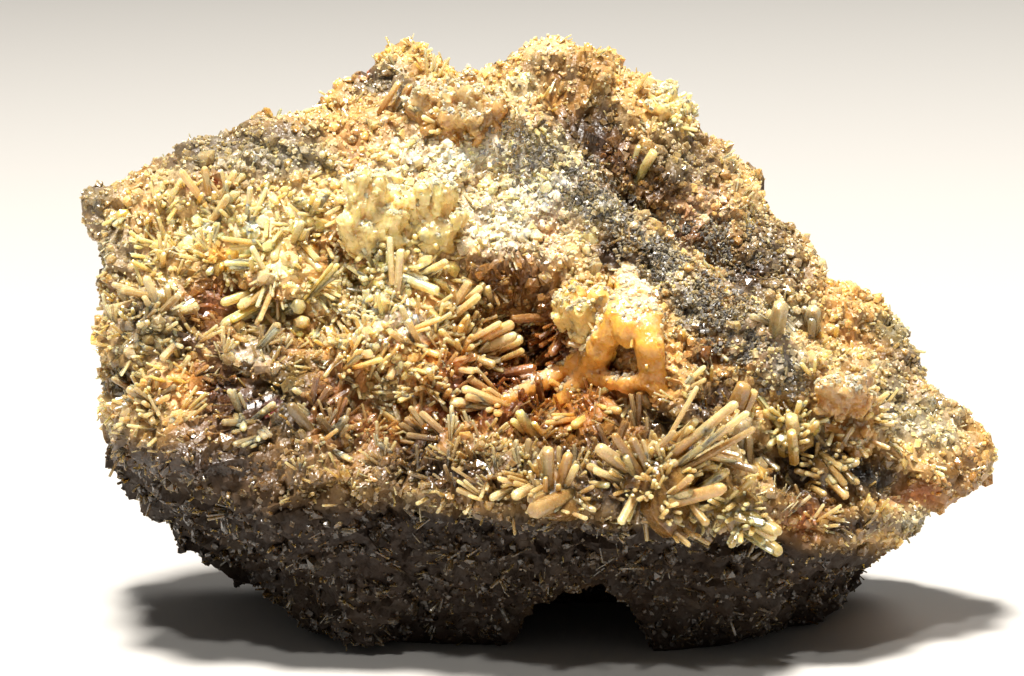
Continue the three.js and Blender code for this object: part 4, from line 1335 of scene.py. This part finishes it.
def massive_heap(heap, colour):
    """The melted heap with grain, deep in colour at its foot, pale and sugary on its crests."""
    points, quads = melted(heap)
    grain = 0.35 * chips(points, 1.1) + 0.12 * chips(points, 0.5)
    points = points + corner_normals(points, quads) * grain[:, None]
    outwards = points - HEART
    above = np.linalg.norm(outwards, axis=-1) - skin_reach(unit(outwards))
    crest = soft_step(above + 0.6 * smooth_noise(points, 1.2), 0, 4)[:, None]
    own, amber = linear(PALETTE[colour]), linear(PALETTE["amber"])
    tints = towards_cream(own + (amber - own) * 0.5 * (1 - crest), 0.3 * crest)
    tints = tints * (1 + 0.25 * chips(points + 17, 1.3))[:, None]
    massive = new_heap()
    add_to_heap(massive, points[None], tints[None], list(quads))
    add_sugar(massive, points, corner_normals(points, quads), tints, SUGAR_PER_MASS, dice)
    return massive


print("melted crystals keep what is larger than", VOXEL, "mm")

# %% Growing the clusters
YOUNG_PER_CLUSTER = 30  # short crystals on the crust below each cluster
for name, (radius, colour, companions, rows) in CLUSTERS.items():
    heap = new_heap()
    feet, directions, lengths, widths, _ = standing(rows)
    taken_lines += zip(feet, feet + directions * lengths[:, None], widths / 2)
    colours = own_colours(colour, len(rows), dice)
    grow(heap, STOUT, dice, feet, directions, lengths, widths, colours)
    add_companions(heap, dice, feet, directions, lengths, widths, colours, companions)
    centre = sight_meets([np.mean([row[:2] for row in rows], axis=0)], skin_reach)
    slope = skin_slope(centre)
    ground = (colours.mean(axis=0) + character(centre, slope)[0, :3]) / 2
    add_crust(heap, centre[0], slope[0], radius, ground, dice)
    if name in massive_clusters:
        heap = massive_heap(heap, colour)
    across, upward = square_to(slope)
    angle = dice.uniform(0, 2 * math.pi, YOUNG_PER_CLUSTER)[:, None]
    spread = radius * np.sqrt(dice.uniform(0, 1, YOUNG_PER_CLUSTER))[:, None]
    offset = spread * (np.cos(angle) * across + np.sin(angle) * upward)
    young_feet = centre + offset + slope * 0.1
    young_ways = unit(slope + 0.35 * offset + dice.normal(0, 0.35, offset.shape))
    young_lengths = dice.uniform(0.9, 2.2, YOUNG_PER_CLUSTER)
    young_colours = colours_on(young_feet, np.repeat(slope, YOUNG_PER_CLUSTER, axis=0), dice)
    young_colours = (young_colours + colours.mean(axis=0)) / 2
    grow(heap, MIDDLING, dice, young_feet, young_ways, young_lengths, young_lengths * 0.24, young_colours)
    finish = massive_finish if name in massive_clusters else crystal_finish
    cluster = piece_from(heap, f"{name}_grown", finish, sharp_from=ROUNDED)
    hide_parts(name)

# %% [markdown]
# ## Single crystals that stand out
# More crystals can be made out one by one between the clusters. They are too small for the frame but big
# enough to be missed, so they are listed and placed in the same way.

# %% Crystals placed one by one
SINGLES = {
    "fan_of_rods": ("olive honey", [
        (16.1, 19.6, 70, 30, 3.0, 1.6),
    ]),
    "bright_fan": ("olive honey", [
        (7.3, 14.0, 158, 30, 3.1, 0.7),
        (9.3, 13.4, -58, 35, 2.6, 0.7),
    ]),
    "brow_spray": ("olive honey", [
        (-2.2, 13.4, -146, 20, 2.0, 0.7),
        (3.1, 12.5, -28, 25, 2.1, 0.7),
        (-0.7, 13.5, 160, 40, 3.2, 0.7),
    ]),
    "right_brow_spray": ("olive honey", [
        (10.7, 12.5, 47, 50, 4.2, 0.7),
    ]),
    "yellow_green_rods": ("yellow green", [
        (17.6, 9.8, -33, 25, 3.1, 1.1),
        (17.0, 10.9, -119, 35, 2.9, 0.7),
    ]),
    "glassy_rods": ("tan", [
        (14.7, 16.1, -31, 25, 3.9, 0.9),
        (17.9, 16.6, -40, 30, 2.8, 0.7),
        (15.3, 16.8, 162, 40, 2.7, 0.7),
        (16.8, 16.5, 90, 35, 3.0, 1.5),
    ]),
    "fat_barrel": ("yellow green", [
        (18.6, 20.4, -54, 25, 2.6, 0.7),
        (20.1, 17.8, -144, 40, 1.8, 0.7),
    ]),
    "orange_blocks": ("ochre", [
        (25.7, 17.5, 127, 50, 2.6, 1.2),
        (25.8, 17.6, 45, 40, 2.1, 1.1),
        (28.2, 18.1, 82, 30, 2.1, 0.7),
        (23.9, 19.8, 164, 40, 1.6, 1.0),
    ]),
    "yellow_blocks": ("yellow", [
        (2.7, 27.1, -138, 50, 1.5, 0.9),
    ]),
    "vug_lip_rods": ("honey", [
        (-3.5, 24.8, 23, 30, 2.9, 1.1),
        (-6.2, 25.7, 72, 35, 2.5, 0.7),
    ]),
    "pale_rod_in_the_vug": ("honey", [
        (-2.5, 20.2, 158, 20, 4.0, 1.1),
    ]),
    "amber_rods": ("amber", [
        (-4.3, 20.5, -148, 25, 3.4, 1.1),
        (-3.7, 21.1, 141, 35, 2.8, 0.8),
        (-3.0, 19.8, -99, 35, 2.4, 0.8),
    ]),
    "rods_below_the_arch": ("orange", [
        (4.8, 20.9, 19, 30, 2.0, 0.7),
        (4.2, 19.4, -100, 30, 2.8, 0.9),
        (-0.4, 18.1, 123, 35, 2.4, 1.0),
        (2.7, 19.1, -138, 35, 3.0, 0.7),
        (5.5, 19.8, -29, 35, 2.5, 0.7),
    ]),
    "blade_fan": ("yellow cream", [
        (-8.0, 34.5, 36, 40, 2.4, 0.7),
    ]),
    "yellow_mass": ("yellow cream", [
        (-14.2, 34.4, -59, 35, 2.3, 1.0),
        (-14.5, 34.7, 128, 40, 2.4, 0.8),
    ]),
    "cream_rods": ("cream", [
        (-6.9, 29.4, 135, 40, 2.1, 0.7),
        (-9.6, 30.9, 27, 35, 3.1, 0.8),
    ]),
    "orange_rods": ("orange", [
        (-10.6, 26.3, 22, 25, 3.2, 0.7),
        (-12.1, 25.2, -38, 35, 2.3, 0.8),
        (-11.1, 25.3, 129, 35, 2.8, 0.8),
        (-9.6, 25.0, -22, 30, 2.0, 0.7),
        (-11.4, 24.4, -108, 40, 2.7, 0.8),
    ]),
    "top_blocks": ("dull yellow", [
        (-11.6, 44.4, 58, 30, 2.9, 1.0),
        (-8.0, 43.4, -148, 45, 2.2, 1.0),
    ]),
    "left_blades": ("yellow cream", [
        (-22.4, 30.0, -118, 30, 1.8, 0.6),
        (-19.4, 27.1, 0, 80, 2.2, 1.5),
        (-18.4, 29.3, 49, 30, 3.8, 0.6),
    ]),
    "left_rods": ("cream", [
        (-23.0, 31.9, 180, 20, 2.7, 0.7),
        (-21.1, 33.9, -103, 40, 2.4, 0.8),
        (-21.2, 31.8, -32, 35, 1.9, 0.7),
        (-21.7, 33.4, 174, 20, 4.4, 0.7),
        (-19.4, 32.9, -42, 30, 2.8, 0.8),
        (-20.1, 33.5, 61, 40, 2.7, 0.7),
    ]),
    "lower_left_rods": ("grey cream", [
        (-24.4, 19.9, 114, 30, 2.1, 0.7),
        (-24.2, 19.1, -84, 30, 1.9, 0.7),
        (-22.6, 18.1, -69, 30, 2.1, 0.7),
        (-23.0, 17.6, -143, 30, 2.4, 0.7),
        (-23.5, 18.8, 180, 35, 2.6, 0.7),
        (-22.9, 19.3, 38, 40, 2.4, 0.7),
    ]),
    "grey_green_prisms": ("grey cream", [
        (-17.7, 20.1, 145, 25, 2.9, 0.8),
        (-17.6, 18.3, -148, 35, 2.6, 0.7),
        (-16.6, 16.5, -38, 35, 2.3, 0.7),
    ]),
    "left_end_rods": ("tan", [
        (-33.2, 22.3, 138, 20, 2.2, 0.5),
        (-32.6, 20.4, -166, 25, 2.2, 0.6),
        (-31.1, 20.9, 31, 35, 2.3, 0.6),
    ]),
    "crown_crystals": ("yellow cream", [
        (8.4, 39.0, 59, 30, 2.8, 1.1),
    ]),
    "pale_lumps": ("grey cream", [
        (19.6, 26.3, 82, 45, 3.3, 1.6),
        (22.6, 26.8, 90, 50, 2.3, 1.5),
        (20.7, 26.5, -54, 45, 2.0, 0.8),
        (18.8, 27.1, 159, 40, 1.8, 0.7),
    ]),
    "lower_right_rods": ("olive honey", [
        (22.6, 13.5, -40, 30, 1.6, 0.6),
        (23.0, 14.5, 165, 40, 2.4, 0.7),
    ]),
}
print("crystals placed one by one:", sum(len(rows) for _, rows in SINGLES.values()))

# %% Growing the single crystals
single_heap = new_heap()
for colour, rows in SINGLES.values():
    feet, directions, lengths, widths, _ = standing(rows)
    taken_lines += zip(feet, feet + directions * lengths[:, None], widths / 2)
    colours = own_colours(colour, len(rows), dice)
    grow(single_heap, STOUT, dice, feet, directions, lengths, widths, colours)
    add_companions(single_heap, dice, feet, directions, lengths, widths, colours)
singles = piece_from(single_heap, "single_crystals", crystal_finish, sharp_from=ROUNDED)

# %% [markdown]
# ## The arch
# Right of the vug stands an arch of massive mimetite, a waxy yellow A with a small window in
# it. Modelling it face by face would take long, and its surface should be as soft as candle
# wax. So its limbs are tubes in the places that the frame has them, melted together as the
# massive clusters were. A last limb, which the frame does without, runs down to the left along
# the lip of the vug.

# %% Limbs of the arch
ARCH_LIMBS = [
    [(7.4, 31.4, -1.2, 1), (7.6, 29.4, 0.8, 1.3), (6.9, 27.6, 1.5, 1.5), (5.5, 25.4, 1.8, 1.4),
     (4.4, 23, 1.4, 1.3), (2.2, 20.6, -0.4, 1.1)],
    [(8.2, 29.2, 0.8, 1.6), (8.9, 27.4, 1.4, 1.6), (9.3, 25, 1.4, 1.3), (9.5, 22.9, 0.9, 1.2),
     (10.3, 21, -0.8, 0.9)],
    [(7.8, 29, 1, 1.4), (7.4, 26.8, 1.5, 1.4), (7.4, 26, 1.3, 1.1)],
    [(5, 22.6, 1.5, 1.1), (7.3, 22, 1.5, 0.9), (9.6, 22.4, 0.9, 1)],
    [(4.4, 24.4, 1.2, 1.2), (1.9, 22.9, 1, 1.1), (-0.6, 21.6, 0.8, 0.9), (-2.4, 20.6, 0.2, 0.8)],
]


def along_limb(limb, between=10):
    """Centres and radii along a limb, with places between its points."""
    rows = np.array(limb, float)
    centres = sight_meets(rows[:, :2], skin_reach) + rows[:, 2:3] * TO_VIEWER
    at = np.linspace(0, len(rows) - 1, (len(rows) - 1) * between + 1)
    stops = np.arange(len(rows))
    centre = np.stack([np.interp(at, stops, centres[:, axis]) for axis in range(3)], axis=-1)
    return centre, np.interp(at, stops, rows[:, 3])


def arch_mesh():
    heap = new_heap()
    ball = template(15, [(1, 1.9, 0.3), (1, 1.7, 0.72), (1, 1.3, 0.95), (1, 0.8, 0.98), (1, 0.3, 0.72)])
    for limb in ARCH_LIMBS:
        centres, radii = along_limb(limb)
        taken_lines.extend(zip(centres[:-1], centres[1:], radii[:-1]))
        radii = radii * dice.uniform(0.97, 1.04, len(radii))
        ways = np.tile(TO_VIEWER, (len(centres), 1))
        feet = centres - ways * radii[:, None]
        colours = np.tile(linear(PALETTE["yellow"]), (len(centres), 1))
        grow(heap, ball, dice, feet, ways, 2 * radii, 2 * radii, colours, sink=0.0)
    return heap


arch_points, arch_quads = melted(arch_mesh())
print("the melted arch has", len(arch_quads), "faces")

# %% [markdown]
# The melted limbs are too even. Chips and noise along the normals bring back the blocky look of crystals
# that have grown into one mass. The mineral is more amber the lower it lies and paler on the faces that
# look up, where sugary grains also lie. Small crystals stand on it.

# %% Finishing the arch
ARCH_CRYSTALS = 16
arch_normals = corner_normals(arch_points, arch_quads)
grain = 0.18 * chips(arch_points, 1.9) + 0.05 * chips(arch_points, 0.7)
arch_points = arch_points + arch_normals * grain[:, None]
arch_seen = seen_at(arch_points)
upper = soft_step(arch_normals @ UP_IN_VIEW + 0.3 * smooth_noise(arch_points, 0.9), 0.1, 0.9)[:, None]
low = soft_step(27 - arch_seen[:, 1], 0, 6)[:, None]
yellow, amber, sugar = (linear(PALETTE[colour]) for colour in ("yellow", "amber", "white cream"))
arch_tint = yellow + (amber - yellow) * (0.35 + 0.5 * low)
arch_tint = arch_tint + (sugar - arch_tint) * 0.38 * upper * (1 - 0.6 * low)
arch_heap = new_heap()
add_to_heap(arch_heap, arch_points[None], arch_tint[None], list(arch_quads))
add_sugar(arch_heap, arch_points, arch_normals, arch_tint, SUGAR_PER_MASS, dice)
sites = dice.choice(len(arch_points), ARCH_CRYSTALS, replace=False)
outward = arch_normals[sites]
ways = unit(outward + 0.25 * TO_VIEWER + dice.normal(0, 0.35, outward.shape))
lengths = dice.uniform(0.7, 2.0, ARCH_CRYSTALS)
colours = arch_tint[sites] * dice.uniform(0.85, 1.1, (ARCH_CRYSTALS, 1))
grow(arch_heap, MIDDLING, dice, arch_points[sites], ways, lengths, lengths * 0.3, colours, sink=0.4)
arch = piece_from(arch_heap, "arch_of_mimetite", massive_finish)
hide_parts("mimetite_arch")

# %% [markdown]
# ## The vug
# The big hollow is lined with stout amber rods that lean in from its walls. They are listed like the
# clusters, and a lining of short crystals grows around them.

# %% Rods in the vug
VUG_RODS = [
    (-0.2, 23.2, 42, 15, 4.2, 1.3),
    (-2.2, 22.6, -6, 20, 3.4, 1.2),
    (-1, 22.6, -36, 25, 3, 0.8),
    (-3.7, 22.8, 9, 15, 3.8, 1.1),
    (0.9, 27.5, -177, 20, 3.1, 0.8),
    (2.2, 26.2, -120, 30, 2.4, 0.9),
    (-3.2, 26.2, -40, 30, 2.6, 0.9),
    (2.6, 21.4, 150, 35, 2.2, 0.8),
    (0.4, 20.8, 100, 40, 2.4, 0.9),
]
VUG_MIDDLE = (0.6, 23.4)
VUG_REACH = (4.6, 3.8)
VUG_LINING = 300
vug_heap = new_heap()
feet, directions, lengths, widths, normals = standing(VUG_RODS)
taken_lines += zip(feet, feet + directions * lengths[:, None], widths / 2)
rod_colours = colours_on(feet, normals, dice, paler=0.0) ** 0.8
grow(vug_heap, STOUT, dice, feet, directions, lengths, widths, rod_colours, palest=0.1)
turn = dice.uniform(0, 2 * math.pi, VUG_LINING)
away = np.sqrt(dice.uniform(0, 1, VUG_LINING))
lining_seen = np.stack([np.cos(turn) * away, np.sin(turn) * away], axis=-1) * VUG_REACH + VUG_MIDDLE
lining_feet = sight_meets(lining_seen, skin_reach)
lining_normals = skin_slope(lining_feet)
lining_ways = unit(lining_normals + dice.normal(0, 0.5, lining_feet.shape))
lining_lengths = dice.uniform(0.5, 1.6, VUG_LINING)
lining_colours = colours_on(lining_feet, lining_normals, dice, paler=0.0)
grow(
    vug_heap, MIDDLING, dice, lining_feet, lining_ways, lining_lengths, lining_lengths * 0.3,
    lining_colours, palest=0.1,
)
vug = piece_from(vug_heap, "vug_lining", crystal_finish)
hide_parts("vug_crust")

# %% [markdown]
# ## Scattering on the skin
# Everything else is scattered. A seat is a place on the skin, drawn by chance, with faces that are large or
# lie in thickly grown places drawn more often. Nothing is kept that would run through the crystals placed
# one by one, or past the box of the frame.

# %% Seats
FLOOR_ROOM = 0.25  # how far above the floor everything that is scattered stays
corner_points = skin_points[skin_quads]
quad_area = 0.5 * np.linalg.norm(
    np.cross(corner_points[:, 2] - corner_points[:, 0], corner_points[:, 3] - corner_points[:, 1]), axis=-1
)
quad_character = skin_character[skin_quads].mean(axis=1)


def seats(random, count, thickness):
    """Random places on the skin: points, smooth normals and character."""
    chance = quad_area * thickness
    quads = skin_quads[random.choice(len(quad_area), count, p=chance / chance.sum())]
    s, t = random.uniform(0, 1, (2, count, 1))
    shares = np.stack([(1 - s) * (1 - t), s * (1 - t), s * t, (1 - s) * t], axis=1)
    points = (skin_points[quads] * shares).sum(axis=1)
    normals = unit((skin_normals[quads] * shares).sum(axis=1))
    return points, normals, (skin_character[quads] * shares).sum(axis=1)


def is_free(feet, tips, margin):
    """True where a crystal stays clear of what is placed one by one and inside the box."""
    middles = (feet + tips) / 2
    free = ((tips > low_corner) & (tips < high_corner)).all(axis=-1)
    free &= (tips[:, 2] > FLOOR_ROOM) & (feet[:, 2] > FLOOR_ROOM)
    for start, end, radius in taken_lines:
        along = end - start

        # Tips may come closer than feet and middles. A placed crystal's lowest part doesn't count.
        for points, room in ((feet, margin), (middles, margin), (tips, margin * 0.5)):
            share = np.clip((points - start) @ along / (along @ along), 0.15, 1)
            free &= np.linalg.norm(points - start - share[:, None] * along, axis=-1) > radius + room
    return free


def short_at_edges(normals):
    """Share of their length that rods keep: less where the skin turns away from the viewer."""
    return 0.45 + 0.55 * soft_step(normals @ TO_VIEWER, 0.05, 0.5)


print("seats are drawn from", round(float(quad_area.sum())), "square millimetres of skin")

# %% [markdown]
# ## Sprays
# Crystals of middling size grow in sprays: a handful of prisms that start close together and
# spread like a brush. Each spray leans its own way, mostly outwards. One mesh of them all would
# be large, so they become two pieces, a left and a right one.

# %% Sprays of prisms
SPRAYS = 300
DIVIDED_AT = -4  # the x that divides the left piece from the right one
spray_dice = np.random.default_rng(23)


def leaning(random, normals, stand, lie):
    """Directions that lean away from the normals, each to a side of its own."""
    aside = random.normal(0, 1, normals.shape)
    aside = unit(aside - (aside * normals).sum(axis=-1, keepdims=True) * normals)
    return unit(stand * normals + lie * aside + 0.12 * TO_VIEWER)


def left_and_right(name, shape, random, keep, feet, ways, lengths, widths, colours, sink=0.6):
    """Grows the crystals that are kept into two pieces."""
    for side, half in (("left", feet[:, 0] < DIVIDED_AT), ("right", feet[:, 0] >= DIVIDED_AT)):
        heap = new_heap()
        chosen = keep & half
        grow(
            heap, shape, random, feet[chosen], ways[chosen], lengths[chosen], widths[chosen],
            colours[chosen], sink=sink,
        )
        piece = piece_from(heap, f"{name}_{side}", crystal_finish, sharp_from=ROUNDED)


spray_points, spray_normals, spray_character = seats(spray_dice, SPRAYS, quad_character[:, 3] ** 2)
members = spray_dice.integers(3, 9, SPRAYS)
spray_of = np.repeat(np.arange(SPRAYS), members)
spray_axis = leaning(spray_dice, spray_normals, 0.6, 0.85)
openness = spray_dice.uniform(0.18, 0.5, SPRAYS)
spray_length = np.exp(spray_dice.normal(0.85, 0.28, SPRAYS)).clip(1, 3.4)
spray_length = spray_length * (0.4 + 0.6 * spray_character[:, 3].clip(0, 1))
spray_length = spray_length * short_at_edges(spray_normals)
slimness = spray_dice.uniform(0.16, 0.28, SPRAYS)
jitter = spray_dice.normal(0, 1, (len(spray_of), 3))
spray_ways = unit(spray_axis[spray_of] + openness[spray_of, None] * jitter)
spray_feet = spray_points[spray_of] + 0.13 * jitter * spray_length[spray_of, None]
spray_feet = spray_feet - 0.2 * spray_normals[spray_of]
outward = (spray_ways * spray_normals[spray_of]).sum(axis=-1)
lengths = spray_length[spray_of] * spray_dice.uniform(0.5, 1.15, len(spray_of))
widths = (lengths * slimness[spray_of] * spray_dice.uniform(0.8, 1.25, len(spray_of))).clip(0.28, 0.85)
keep = (outward > 0.12) & is_free(spray_feet, spray_feet + spray_ways * lengths[:, None], 0.45)
spray_colours = colours_on(spray_feet, spray_normals[spray_of], spray_dice, 0.35, spray_of)
left_and_right(
    "sprays", MIDDLING, spray_dice, keep, spray_feet, spray_ways, lengths, widths, spray_colours
)

# %% [markdown]
# ## Tufts
# The smallest rods fill the ground between. They stand in tufts like the bristles of a brush
# that has been pressed down: all rods of a tuft point away from one focus below the skin.

# %% Tufts of fine rods
FINE_RODS = 4200
TUFTS = 700
FOCUS_DEPTH = 0.9
tuft_dice = np.random.default_rng(37)
tuft_points, tuft_normals, _ = seats(tuft_dice, TUFTS, quad_character[:, 3] ** 1.5)
foci = tuft_points - FOCUS_DEPTH * tuft_normals
tree = KDTree(TUFTS)
for number, focus in enumerate(foci):
    tree.insert(focus, number)
tree.balance()
fine_points, fine_normals, fine_character = seats(tuft_dice, FINE_RODS, quad_character[:, 3] ** 1.5)
nearest = np.array([tree.find(point)[1] for point in fine_points])
radial = unit(fine_points - foci[nearest])
tuft_axis = leaning(tuft_dice, tuft_normals, 0.35, 0.8)
fine_ways = unit(0.7 * radial + tuft_axis[nearest] + tuft_dice.normal(0, 0.22, radial.shape))
fine_lengths = np.exp(tuft_dice.normal(0.25, 0.34, FINE_RODS)).clip(0.5, 2.6)
fine_lengths = fine_lengths * (0.45 + 0.55 * fine_character[:, 3].clip(0, 1)) * short_at_edges(fine_normals)
fine_widths = (fine_lengths * tuft_dice.uniform(0.16, 0.28, FINE_RODS)).clip(0.16, 0.42)
keep = (fine_ways * fine_normals).sum(axis=-1) > 0.12
keep &= is_free(fine_points, fine_points + fine_ways * fine_lengths[:, None], 0.25)
fine_colours = colours_on(fine_points, fine_normals, tuft_dice, 0.3, nearest)
left_and_right(
    "fine_rods", SLENDER, tuft_dice, keep, fine_points, fine_ways, fine_lengths, fine_widths,
    fine_colours, sink=0.3,
)

# %% [markdown]
# ## Blocks, lumps, druse and sugar
# Where crystals grow too densely to stand free, they merge into stout blocks and a crust of
# lumps. On top of it lies a druse of blocky grains a third of a millimetre across, and over
# that a dusting as fine as sugar.

# %% Four coats
# Each coat: the bit, how many, their usual, least and greatest size, how far above the skin,
# how much paler than the ground, the material, and how much they seek the places thickly grown
# with rods and with grains.
COATS = {
    "massive_blocks": (LUMP, 800, 0.95, 0.6, 1.5, 0.0, 0.3, crystal_finish, 2.5, 0.3),
    "crust_of_lumps": (LUMP, 6800, 0.62, 0.36, 1.4, -0.05, 0.1, crust_finish, 0.0, 0.6),
    "druse_of_grains": (BOX, 9500, 0.32, 0.18, 0.6, 0.1, 0.25, druse_finish, 0.0, 1.0),
    "sugar_of_fine_grains": (BOX, 13000, 0.19, 0.12, 0.28, 0.2, 0.45, druse_finish, 0.0, 1.6),
}
coat_dice = np.random.default_rng(51)
for name, (bit, count, usual, least, greatest, above, paler, finish, for_rods, for_grains) in COATS.items():
    thickness = quad_character[:, 3].clip(0.01) ** for_rods * quad_character[:, 4] ** for_grains
    points, normals, _ = seats(coat_dice, count, thickness)
    sizes = (usual * np.exp(coat_dice.normal(0, 0.36, count))).clip(least, greatest)
    keep = is_free(points, points + normals * sizes[:, None] / 2, 0.1)
    colours = colours_on(points, normals, coat_dice, paler)
    heap = new_heap()
    add_bits(heap, bit, coat_dice, points[keep], normals[keep], sizes[keep], colours[keep], above)
    piece_from(heap, name, finish, sharp_from=10)

# %% [markdown]
# ## Glitter
# Along the ridge lie thin silvery plates, which are what sparkles most in the photograph. They
# are the same boxes, made thin and shiny.

# %% Silvery plates
PLATES = 3200

# The lines along which the plates lie, by the x and h of their ends.
RIDGE = [((-3, 43), (8, 35)), ((8, 35), (14, 29)), ((14, 29), (20.5, 22.5)), ((12, 37), (19, 30))]
SILVERS = ("silver", "silver", "grey cream", "grey cream", "slate", "tan")
silver_finish = mineral(
    "silvery_plates", (0.25, 0.55), 0.00003, 5000, ior=1.65, glitter=0.6, glow=0.3, coat=0.1
)
plate_dice = np.random.default_rng(67)
which = plate_dice.integers(0, len(RIDGE), PLATES)
starts = np.array([start for start, _ in RIDGE], float)[which]
ends = np.array([end for _, end in RIDGE], float)[which]
plate_seen = starts + (ends - starts) * plate_dice.uniform(0, 1, (PLATES, 1))
plate_seen = plate_seen + plate_dice.normal(0, 1.5, (PLATES, 2))
plate_points = sight_meets(plate_seen, skin_reach)
plate_normals = skin_slope(plate_points)
plate_sizes = plate_dice.uniform(0.14, 0.42, PLATES)
plate_colours = linear([PALETTE[SILVERS[n]] for n in plate_dice.integers(0, len(SILVERS), PLATES)])
keep = is_free(plate_points, plate_points + plate_normals * plate_sizes[:, None], 0.1)
plate_heap = new_heap()
add_bits(
    plate_heap, BOX, plate_dice, plate_points[keep], plate_normals[keep], plate_sizes[keep],
    plate_colours[keep], 0.18, thin=0.3,
)
plates = piece_from(plate_heap, "silvery_plates_of_the_ridge", silver_finish, sharp_from=10)

# %% [markdown]
# ## Floor and light
# The specimen stands on a plain pale floor. A large soft light comes from high on the left in
# front, as in the photograph, and leaves the underside in shade. Crystals only sparkle when
# something small and bright is mirrored in them, so a small light stands near the large one.
# A broad, weak one lights the back.

# %% Floor and lights
FLOOR_COLOUR = (0.76, 0.75, 0.73)
FLOOR_HALF = 3.0

# Each light: azimuth and elevation, distance and size in metres, power in watts, colour.
LIGHTS = {
    "large_soft_light": (-22, 75, 0.8, 0.15, 15.8, (1.0, 0.96, 0.91)),
    "small_sparkling_light": (-10, 54, 0.7, 0.04, 1.5, (1.0, 0.98, 0.95)),
    "light_from_behind": (150, 40, 0.9, 0.5, 2.2, (1.0, 0.98, 0.95)),
}
LIT_POINT = np.array([0, 0, 0.024])
ROOM_COLOUR, ROOM_STRENGTH = (0.94, 0.92, 0.90), 0.12


def plain_floor():
    mesh = bpy.data.meshes.new("floor")
    corners = [(x * FLOOR_HALF, y * FLOOR_HALF, 0) for x, y in ((-1, -1), (1, -1), (1, 1), (-1, 1))]
    mesh.from_pydata(corners, [], [(0, 1, 2, 3)])
    material = bpy.data.materials.new("plain_floor")
    material.use_nodes = True
    shader = material.node_tree.nodes["Principled BSDF"]
    shader.inputs["Base Color"].default_value = (*linear(FLOOR_COLOUR), 1)
    shader.inputs["Roughness"].default_value = 0.7
    mesh.materials.append(material)
    floor = bpy.data.objects.new("floor", mesh)
    bpy.context.scene.collection.objects.link(floor)
    floor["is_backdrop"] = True


def area_light(name, azimuth, elevation, distance, size, power, colour):
    """A square light that looks at the specimen's middle from an azimuth and elevation."""
    lamp = bpy.data.lights.new(name, "AREA")
    lamp.size = size
    lamp.energy = power
    lamp.color = colour
    light = bpy.data.objects.new(name, lamp)
    bpy.context.scene.collection.objects.link(light)
    away = facing(azimuth, elevation)
    light.location = away * distance + LIT_POINT
    light.rotation_euler = Vector(away).to_track_quat("Z", "Y").to_euler()


plain_floor()
for name, row in LIGHTS.items():
    area_light(name, *row)
world = bpy.data.worlds.new("pale_room")
world.use_nodes = True
background = world.node_tree.nodes["Background"]
background.inputs["Color"].default_value = (*ROOM_COLOUR, 1)
background.inputs["Strength"].default_value = ROOM_STRENGTH
bpy.context.scene.world = world

print("lights:", len(LIGHTS))

# %% The camera
LENS, SENSOR_WIDTH = 150, 36
camera_data = bpy.data.cameras.new("camera")
camera_data.lens = LENS
camera_data.sensor_width = SENSOR_WIDTH
camera_data.clip_start = 0.01
camera = bpy.data.objects.new("camera", camera_data)
bpy.context.scene.collection.objects.link(camera)
camera.location = (VIEW_CENTRE + STANDS_AT + VIEW_DISTANCE * TO_VIEWER) * MILLIMETRE
camera.rotation_euler = Vector(TO_VIEWER).to_track_quat("Z", "Y").to_euler()
bpy.context.scene.camera = camera
bpy.context.scene.view_settings.view_transform = "Standard"
print("the camera looks from", [round(value, 4) for value in camera.location])

# %% [markdown]
# ## Size
# Both boxes are written down: the frame's, from the start, and that of the finished model.
# They should agree to within a few hundredths.

# %% Comparing the sizes
new_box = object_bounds()
for axis, letter in enumerate("XYZ"):
    frame_span = 1000 * (cad_box[1][axis] - cad_box[0][axis])
    model_span = 1000 * (new_box[1][axis] - new_box[0][axis])
    print(letter, "frame", round(frame_span, 2), "mm, model", round(model_span, 2), "mm")
